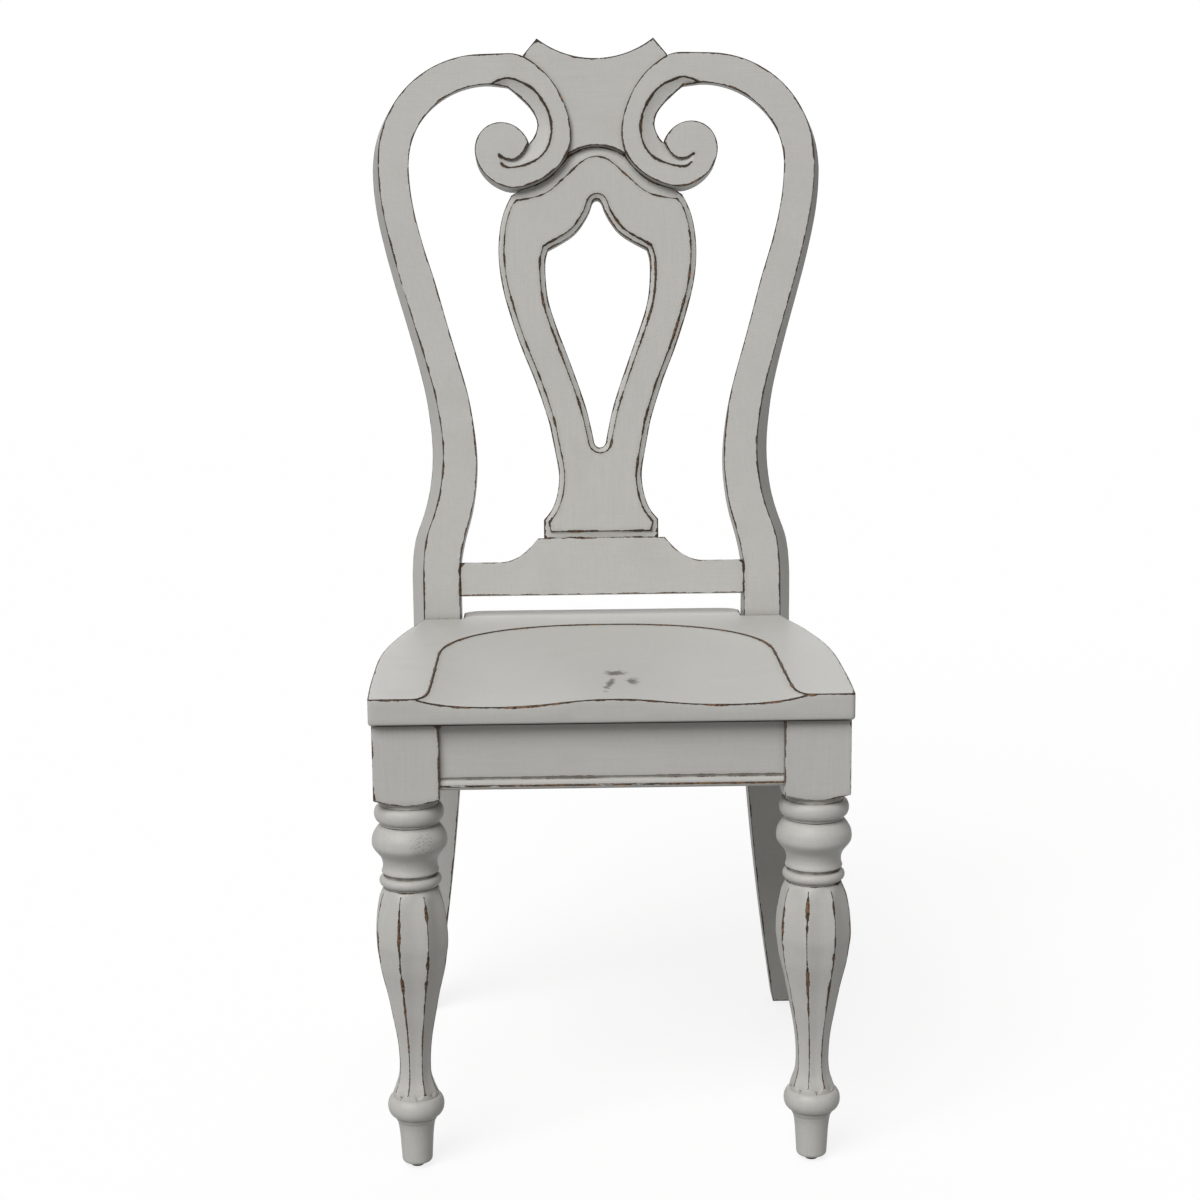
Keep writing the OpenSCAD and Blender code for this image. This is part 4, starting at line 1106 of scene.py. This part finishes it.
@dataclass
class FrontLeg:
    """A front leg: a square block with turned shoulders, beads, a fluted vase, an ankle ring and a foot.

    Heights are shares of the way from the glide to the block, and radii shares of the widest one.
    """

    node: str
    middle: Vector
    turn: float
    paint: Paint
    widest: float = 38.2
    glide: float = 4.0
    block_under: float = 377.0
    block_top: float = 453.0
    block_width: float = 63.0
    block_ease: float = 0.9
    shoulder_drop: float = 3.5
    shoulder_rise: float = 0.07
    shoulder_reach: float = 0.42
    shoulder_power: float = 0.85
    neck_top: float = 0.72
    neck_end: float = 0.68
    mark_low: float = 0.2
    cell: float = 0.008
    flutes: int = 8
    flute_depth: float = 3.5
    flute_parts: int = 18
    flute_end: float = 0.192
    scallop: float = 0.016
    vase: Sequence[tuple[float, float, float]] = (
        (0.7575, 0.675, 0.0), (0.7520, 0.715, 0.03), (0.7440, 0.765, 0.35), (0.7350, 0.808, 0.62),
        (0.7230, 0.848, 0.82), (0.7040, 0.890, 0.93), (0.6820, 0.926, 0.98), (0.6500, 0.957, 1.0),
        (0.6109, 0.967, 1.0), (0.5785, 0.926, 0.98), (0.5442, 0.876, 0.92), (0.5118, 0.803, 0.85),
        (0.4795, 0.724, 0.76), (0.4481, 0.66, 0.68), (0.4128, 0.595, 0.6), (0.3784, 0.529, 0.52),
        (0.3461, 0.476, 0.46), (0.3107, 0.44, 0.42), (0.2783, 0.425, 0.41), (0.2521, 0.432, 0.42),
        (0.2308, 0.464, 0.45), (0.2147, 0.518, 0.50), (0.2030, 0.556, 0.48), (0.1940, 0.578, 0.40),
        (0.1813, 0.6, 0.0),
    )
    upper_bead: tuple[float, float, float, float] = (0.9765, 0.9325, 0.735, 0.880)
    lower_bead: tuple[float, float, float, float] = (0.7880, 0.7618, 0.67, 0.786)
    fillet: Sequence[tuple[float, float]] = ((0.9322, 0.755), (0.9278, 0.755), (0.9265, 0.712))
    bulb: Sequence[tuple[float, float]] = (
        (0.9255, 0.715), (0.9185, 0.796), (0.9090, 0.865), (0.8950, 0.934), (0.8805, 0.955), (0.8705, 0.947),
        (0.8640, 0.921), (0.8570, 0.874), (0.8505, 0.821), (0.8435, 0.770), (0.8370, 0.732), (0.8260, 0.697),
        (0.8160, 0.689), (0.8090, 0.698), (0.8010, 0.723),
    )
    ankle: tuple[float, float, float, float] = (0.1874, 0.1308, 0.54, 0.725)
    collar: Sequence[tuple[float, float]] = (
        (0.7985, 0.722), (0.7968, 0.700), (0.7948, 0.652), (0.7900, 0.648),
    )
    foot: Sequence[tuple[float, float]] = (
        (0.1267, 0.532), (0.1207, 0.522), (0.1156, 0.488), (0.1075, 0.471), (0.0954, 0.45), (0.0722, 0.427),
        (0.0449, 0.411), (0.0196, 0.396), (0.0075, 0.387), (0.0024, 0.348), (0.0001, 0.28),
    )

    def height(self, share: float) -> float:
        """Height above the floor, in metres."""
        return (self.glide + share * (self.block_under - self.glide)) * MM

    def bead(self, top: float, end: float, root: float, crest: float,
             parts: int = 20) -> list[tuple[float, float]]:
        """A half round bead's profile.

        Args:
            top: share of the height at its upper end.
            end: share of the height at its lower end.
            root: share of the radius at its ends.
            crest: share of the radius at its middle.
            parts: number of parts of the curve.

        Returns:
            Radius and height of each point, in metres.
        """
        middle = (self.height(top) + self.height(end)) / 2
        half = (self.height(top) - self.height(end)) / 2
        points = []
        for i in range(parts + 1):
            angle = math.pi * i / parts
            radius = (root + (crest - root) * math.sin(angle)) * self.widest * MM
            points.append((radius, middle + half * math.cos(angle)))
        return points

    def scaled(self, shares: Sequence[tuple[float, float]], steps: int = 3) -> list[tuple[float, float]]:
        """A profile's points in metres on a smooth curve through its shares."""
        return [(r * self.widest * MM, self.height(q)) for q, r in curve(shares, steps)]

    def turned(self, profile: Sequence[tuple[float, float]], steps: int = 96) -> bmesh.types.BMesh:
        """A closed turned shape.

        Args:
            profile: radius and height of each point, from the axis to the axis.
            steps: number of steps round.

        Returns:
            Its mesh about the leg's middle.
        """
        mesh = bmesh.new()
        verts = [mesh.verts.new((radius, 0.0, height)) for radius, height in profile]
        edges = [mesh.edges.new(pair) for pair in zip(verts, verts[1:])]
        bmesh.ops.spin(mesh, geom=verts + edges, cent=(0, 0, 0), axis=(0, 0, 1), angle=math.tau, steps=steps,
                       use_merge=True)
        bmesh.ops.remove_doubles(mesh, verts=mesh.verts, dist=MERGE / 2)
        bmesh.ops.recalc_face_normals(mesh, faces=mesh.faces)
        return mesh

    def neck(self) -> bmesh.types.BMesh:
        """Turns the beads and the bulb between the block and the vase.

        Returns:
            Their closed mesh.
        """
        top, end = self.widest * self.neck_top * MM, self.widest * self.neck_end * MM
        profile = [(0.0, self.height(1.004)), (top, self.height(1.004)), (top, self.height(0.985))]
        profile += self.bead(*self.upper_bead) + self.scaled(self.fillet, 1) + self.scaled(self.bulb)
        profile += self.scaled(self.collar, 1) + self.bead(*self.lower_bead)
        profile += [(end, self.height(0.754)), (end, self.height(0.742)), (0.0, self.height(0.742))]
        return self.turned(profile)

    def ankle_and_foot(self) -> bmesh.types.BMesh:
        """Turns the ankle ring and the foot.

        Returns:
            Their closed mesh.
        """
        top = self.height(self.flute_end)
        profile = [(0.0, top), (self.ankle[2] * self.widest * MM, top)]
        profile += self.bead(*self.ankle) + self.scaled(self.foot) + [(0.0, self.glide * MM)]
        return self.turned(profile)

    def fluted_vase(self) -> bmesh.types.BMesh:
        """Makes the fluted vase, whose flutes end in round scallops.

        Returns:
            Its closed mesh.
        """
        count = self.flutes * self.flute_parts
        rows = curve(self.vase, 5)
        mesh = bmesh.new()
        ring = bmesh.ops.create_circle(mesh, cap_ends=True, segments=count, radius=1.0)["verts"]
        edges = mesh.edges[:]
        for index, (share, radius, depth) in enumerate(rows):
            if index:
                made = bmesh.ops.extrude_edge_only(mesh, edges=edges)["geom"]
                edges = [item for item in made if isinstance(item, bmesh.types.BMEdge)]
                ring = list({vert for edge in edges for vert in edge.verts})
            for vert in ring:
                angle = math.atan2(vert.co.y, vert.co.x)
                place = ((angle + math.pi / 2) / math.tau * self.flutes + 0.5) % 1.0
                reach = radius * self.widest - self.cut(share, place) * max(depth, 0.0) * self.flute_depth
                vert.co = Vector((math.cos(angle) * reach, math.sin(angle) * reach, 0.0)) * MM
                vert.co.z = self.height(share)
        bmesh.ops.holes_fill(mesh, edges=edges, sides=0)
        bmesh.ops.recalc_face_normals(mesh, faces=mesh.faces)
        bmesh.ops.rotate(mesh, verts=mesh.verts, cent=(0, 0, 0), matrix=Matrix.Rotation(self.turn, 3, "Z"))
        return mesh

    def cut(self, share: float, place: float) -> float:
        """Share of a flute's depth.

        Args:
            share: share of the height to the block.
            place: place across the flute, from 0 to 1.

        Returns:
            1 in its middle, 0 at its arrises.
        """
        round_off = max(0.0, min(1.0, (share - self.flute_end) / self.scallop))
        width = math.sqrt(1.0 - (1.0 - round_off) ** 2)
        across = abs(place - 0.5) * 2.0 / max(width, 0.001)
        return math.cos(math.pi / 2 * across) if across < 1.0 else 0.0

    def block(self) -> bmesh.types.BMesh:
        """Makes the square block, whose lower corners a turned shoulder rounds off.

        Returns:
            Its closed mesh.
        """
        mesh = bmesh.new()
        bmesh.ops.create_cube(mesh, size=1.0)
        upright = [edge for edge in mesh.edges if abs(edge.verts[0].co.z - edge.verts[1].co.z) > 0.5]
        flat = [edge for edge in mesh.edges if edge not in upright]
        bmesh.ops.subdivide_edges(mesh, edges=flat, cuts=23, use_grid_fill=True)
        upright = [edge for edge in mesh.edges if abs(edge.verts[0].co.z - edge.verts[1].co.z) > 0.5]
        bmesh.ops.subdivide_edges(mesh, edges=upright, cuts=5, use_grid_fill=True)
        low, high = self.block_under - self.shoulder_drop, self.block_top
        start, rise = self.block_width * 0.5, (self.block_top - self.block_under) * self.shoulder_rise
        for vert in mesh.verts:
            foot = vert.co.z < -0.499
            vert.co.x *= self.block_width
            vert.co.y *= self.block_width
            vert.co.z = low + (vert.co.z + 0.5) * (high - low)
            away = math.hypot(vert.co.x, vert.co.y)
            if foot and away > start:
                share = min((away - start) / (start * self.shoulder_reach), 1.0)
                vert.co.z = low + rise * share ** self.shoulder_power
        bmesh.ops.scale(mesh, vec=(MM, MM, MM), verts=mesh.verts)
        bmesh.ops.recalc_face_normals(mesh, faces=mesh.faces)
        return mesh

    def build(self) -> bpy.types.Object:
        """Makes the leg from its block, neck, vase and foot.

        Returns:
            The piece.
        """
        place = Matrix.Translation(Vector((self.middle.x, self.middle.y, 0.0)))
        lines, whole = Lines(), bmesh.new()
        for part, crisp, ease in ((self.block(), 40.0, self.block_ease), (self.neck(), 360.0, 0.0),
                                  (self.fluted_vase(), 16.0, 0.0), (self.ankle_and_foot(), 360.0, 0.0)):
            bmesh.ops.transform(part, matrix=place, verts=part.verts)
            lines.take(part, convex=crisp, concave=24.0)
            if ease:
                sharp = [edge for edge in part.edges if edge.calc_face_angle_signed(0.0) > math.radians(60)]
                bmesh.ops.bevel(part, geom=sharp, offset=ease * MM, offset_type="OFFSET", segments=2,
                                profile=0.5, affect="EDGES", clamp_overlap=False, material=-1)
            data = bpy.data.meshes.new("part")
            part.to_mesh(data)
            part.free()
            whole.from_mesh(data)
            bpy.data.meshes.remove(data)
        lines.arrises = [point for point in lines.arrises if point.z > self.height(self.mark_low)]
        top = self.widest * self.neck_top * MM
        # A crevice ring where the block's shoulder meets the neck. It gets a glaze line and the painted
        # shadow that the paint puts beside crevices.
        lines.crevices += [Vector((self.middle.x + top * math.cos(a), self.middle.y + top * math.sin(a),
                                   (self.block_under - self.shoulder_drop) * MM))
                           for a in (math.tau * i / 200 for i in range(200))]
        refined(whole, self.cell)
        return finished(f"{self.node}_painted", whole, lines, self.paint.material(),
                        [self.node])


@dataclass
class FrontLegs:
    """The pair of front legs: how far each is turned, in degrees, and the pits in the left one's bulb."""

    left_turn: float = 6.2
    right_turn: float = 6.5
    belly: float = 0.235
    pits: tuple[float, float, float] = (-0.179, -0.278, 0.334)

    def build(self) -> None:
        """Makes both legs."""
        for node, turn, pits in (("left_front_leg", self.left_turn, self.pits),
                                 ("right_front_leg", self.right_turn, None)):
            low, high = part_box(node)
            paint = Paint(f"paint_{node}", Grain.UPRIGHT, wear=0.0014, kept=0.33, belly=self.belly,
                          pits=pits)
            FrontLeg(node, (low + high) / 2, math.radians(turn), paint).build()


@dataclass
class HiddenParts:
    """Corner blocks, joinery, hardware and glides, which keep their CAD shape."""

    wood: Sequence[str] = (
        "front_left_corner_block", "front_right_corner_block", "rear_left_corner_block",
        "rear_right_corner_block", "front_rail_dowels", "side_rail_dowels", "rear_rail_dowels",
        "lower_rail_dowels", "crest_dowels",
    )
    steel: Sequence[str] = ("hanger_bolts", "bolt_washers", "bolt_nuts", "block_screws", "seat_screws")
    plastic: Sequence[str] = ("foot_glides",)

    def build(self) -> None:
        """Gives each part its finish."""
        for names, finish in ((self.wood, BareWood()), (self.steel, Zinc()), (self.plastic, GlidePlastic())):
            material = finish.material()
            for name in names:
                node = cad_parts[name]
                if not node.material_slots:
                    node.data.materials.append(material)
                for place in node.material_slots:
                    place.material = material
                log.info("%s: %s", name, material.name)


@dataclass
class Studio:
    """A pale floor, a white backdrop, soft light from the front, above and left, and a weak one behind."""

    floor_half: float = 8.0
    floor_tone: float = 0.32
    seen_tone: float = 0.82
    glow: float = 1.06
    glow_share: float = 0.78
    world_strength: float = 0.23
    key_strength: float = 2.52
    rear_strength: float = 0.86

    def floor(self) -> None:
        """Makes the floor, which keeps the chair's shadow."""
        mesh = bmesh.new()
        bmesh.ops.create_grid(mesh, x_segments=1, y_segments=1, size=self.floor_half)
        data = bpy.data.meshes.new("floor")
        mesh.to_mesh(data)
        mesh.free()
        graph = Graph("pale_floor")
        camera = graph.node("ShaderNodeLightPath", {}, {}, "Is Camera Ray")
        glossy = graph.node("ShaderNodeLightPath", {}, {}, "Is Glossy Ray")
        tone = graph.blend((self.floor_tone,) * 3, (self.seen_tone,) * 3, camera)
        matt = graph.node("ShaderNodeBsdfDiffuse", {}, {"Color": tone})
        glow = graph.node("ShaderNodeEmission", {}, {"Color": (1.0, 1.0, 1.0), "Strength": self.glow})
        seen = camera.larger(glossy) * self.glow_share
        mixed = graph.node("ShaderNodeMixShader", {}, {0: seen, 1: matt, 2: glow})
        graph.tree.links.new(mixed.out, graph.end.inputs["Surface"])
        data.materials.append(graph.material)
        piece = bpy.data.objects.new("floor", data)
        bpy.context.scene.collection.objects.link(piece)

    def world(self) -> None:
        """Lights the scene softly from all round and shows white behind it."""
        world = bpy.data.worlds.new("studio")
        world.use_nodes = True
        tree = world.node_tree
        tree.nodes.clear()
        out = tree.nodes.new("ShaderNodeOutputWorld")
        soft = tree.nodes.new("ShaderNodeBackground")
        soft.inputs["Color"].default_value = (1.0, 0.985, 0.96, 1.0)
        soft.inputs["Strength"].default_value = self.world_strength
        white = tree.nodes.new("ShaderNodeBackground")
        white.inputs["Color"].default_value = (1.0, 1.0, 1.0, 1.0)
        white.inputs["Strength"].default_value = 1.0
        path = tree.nodes.new("ShaderNodeLightPath")
        mix = tree.nodes.new("ShaderNodeMixShader")
        tree.links.new(path.outputs["Is Camera Ray"], mix.inputs[0])
        tree.links.new(soft.outputs[0], mix.inputs[1])
        tree.links.new(white.outputs[0], mix.inputs[2])
        tree.links.new(mix.outputs[0], out.inputs["Surface"])
        bpy.context.scene.world = world

    @staticmethod
    def lamp(name: str, bearing: float, rise: float, spread: float, strength: float) -> None:
        """Adds a distant soft lamp.

        Args:
            name: the lamp's name.
            bearing: its bearing from the chair's front towards its left as seen, in degrees.
            rise: its height above the horizon, in degrees.
            spread: how wide it looks from the chair, in degrees.
            strength: its strength in watts per square metre.
        """
        light = bpy.data.lights.new(name, "SUN")
        light.angle = math.radians(spread)
        light.energy = strength
        around, up = math.radians(bearing), math.radians(rise)
        towards = Vector((-math.sin(around) * math.cos(up), -math.cos(around) * math.cos(up), math.sin(up)))
        lamp = bpy.data.objects.new(name, light)
        lamp.location = towards * 3.0
        lamp.rotation_euler = (-towards).to_track_quat("-Z", "Y").to_euler()
        bpy.context.scene.collection.objects.link(lamp)

    def build(self) -> None:
        """Makes the floor, the backdrop and the lamps."""
        self.floor()
        self.world()
        self.lamp("key", 30.0, 45.0, 42.0, self.key_strength)
        self.lamp("rear", 179.0, 30.0, 60.0, self.rear_strength)
        settings = bpy.context.scene.view_settings
        settings.view_transform = "Standard"


@dataclass
class Viewpoint:
    """The photograph's camera, nearly straight in front of the chair and looking slightly down."""

    place: Vector = Vector((-0.048, -2.2827, 0.924))
    yaw: float = math.radians(1.08)
    pitch: float = math.radians(10.02)
    roll: float = math.radians(-0.53)
    lens: float = 65.61

    def build(self) -> None:
        """Makes the camera."""
        level = math.cos(self.pitch)
        forward = Vector((math.sin(self.yaw) * level, math.cos(self.yaw) * level, -math.sin(self.pitch)))
        sideways = Vector((math.cos(self.yaw), -math.sin(self.yaw), 0.0))
        rise = sideways.cross(forward)
        right = math.cos(self.roll) * sideways + math.sin(self.roll) * rise
        up = math.cos(self.roll) * rise - math.sin(self.roll) * sideways
        turn = Matrix((right, up, -forward)).transposed()
        data = bpy.data.cameras.new("camera")
        data.sensor_width = 36.0
        data.lens = self.lens
        camera = bpy.data.objects.new("camera", data)
        camera.matrix_world = Matrix.Translation(self.place) @ turn.to_4x4()
        bpy.context.scene.collection.objects.link(camera)
        bpy.context.scene.camera = camera


def main() -> None:
    """Builds the camera, the studio and the chair."""
    logging.basicConfig(level=logging.INFO, format="%(name)s: %(message)s")
    Viewpoint().build()
    Studio().build()
    Back().build()
    Seat().build()
    SeatRails().build()
    FrontLegs().build()
    HiddenParts().build()


if __name__ == "__main__":
    main()
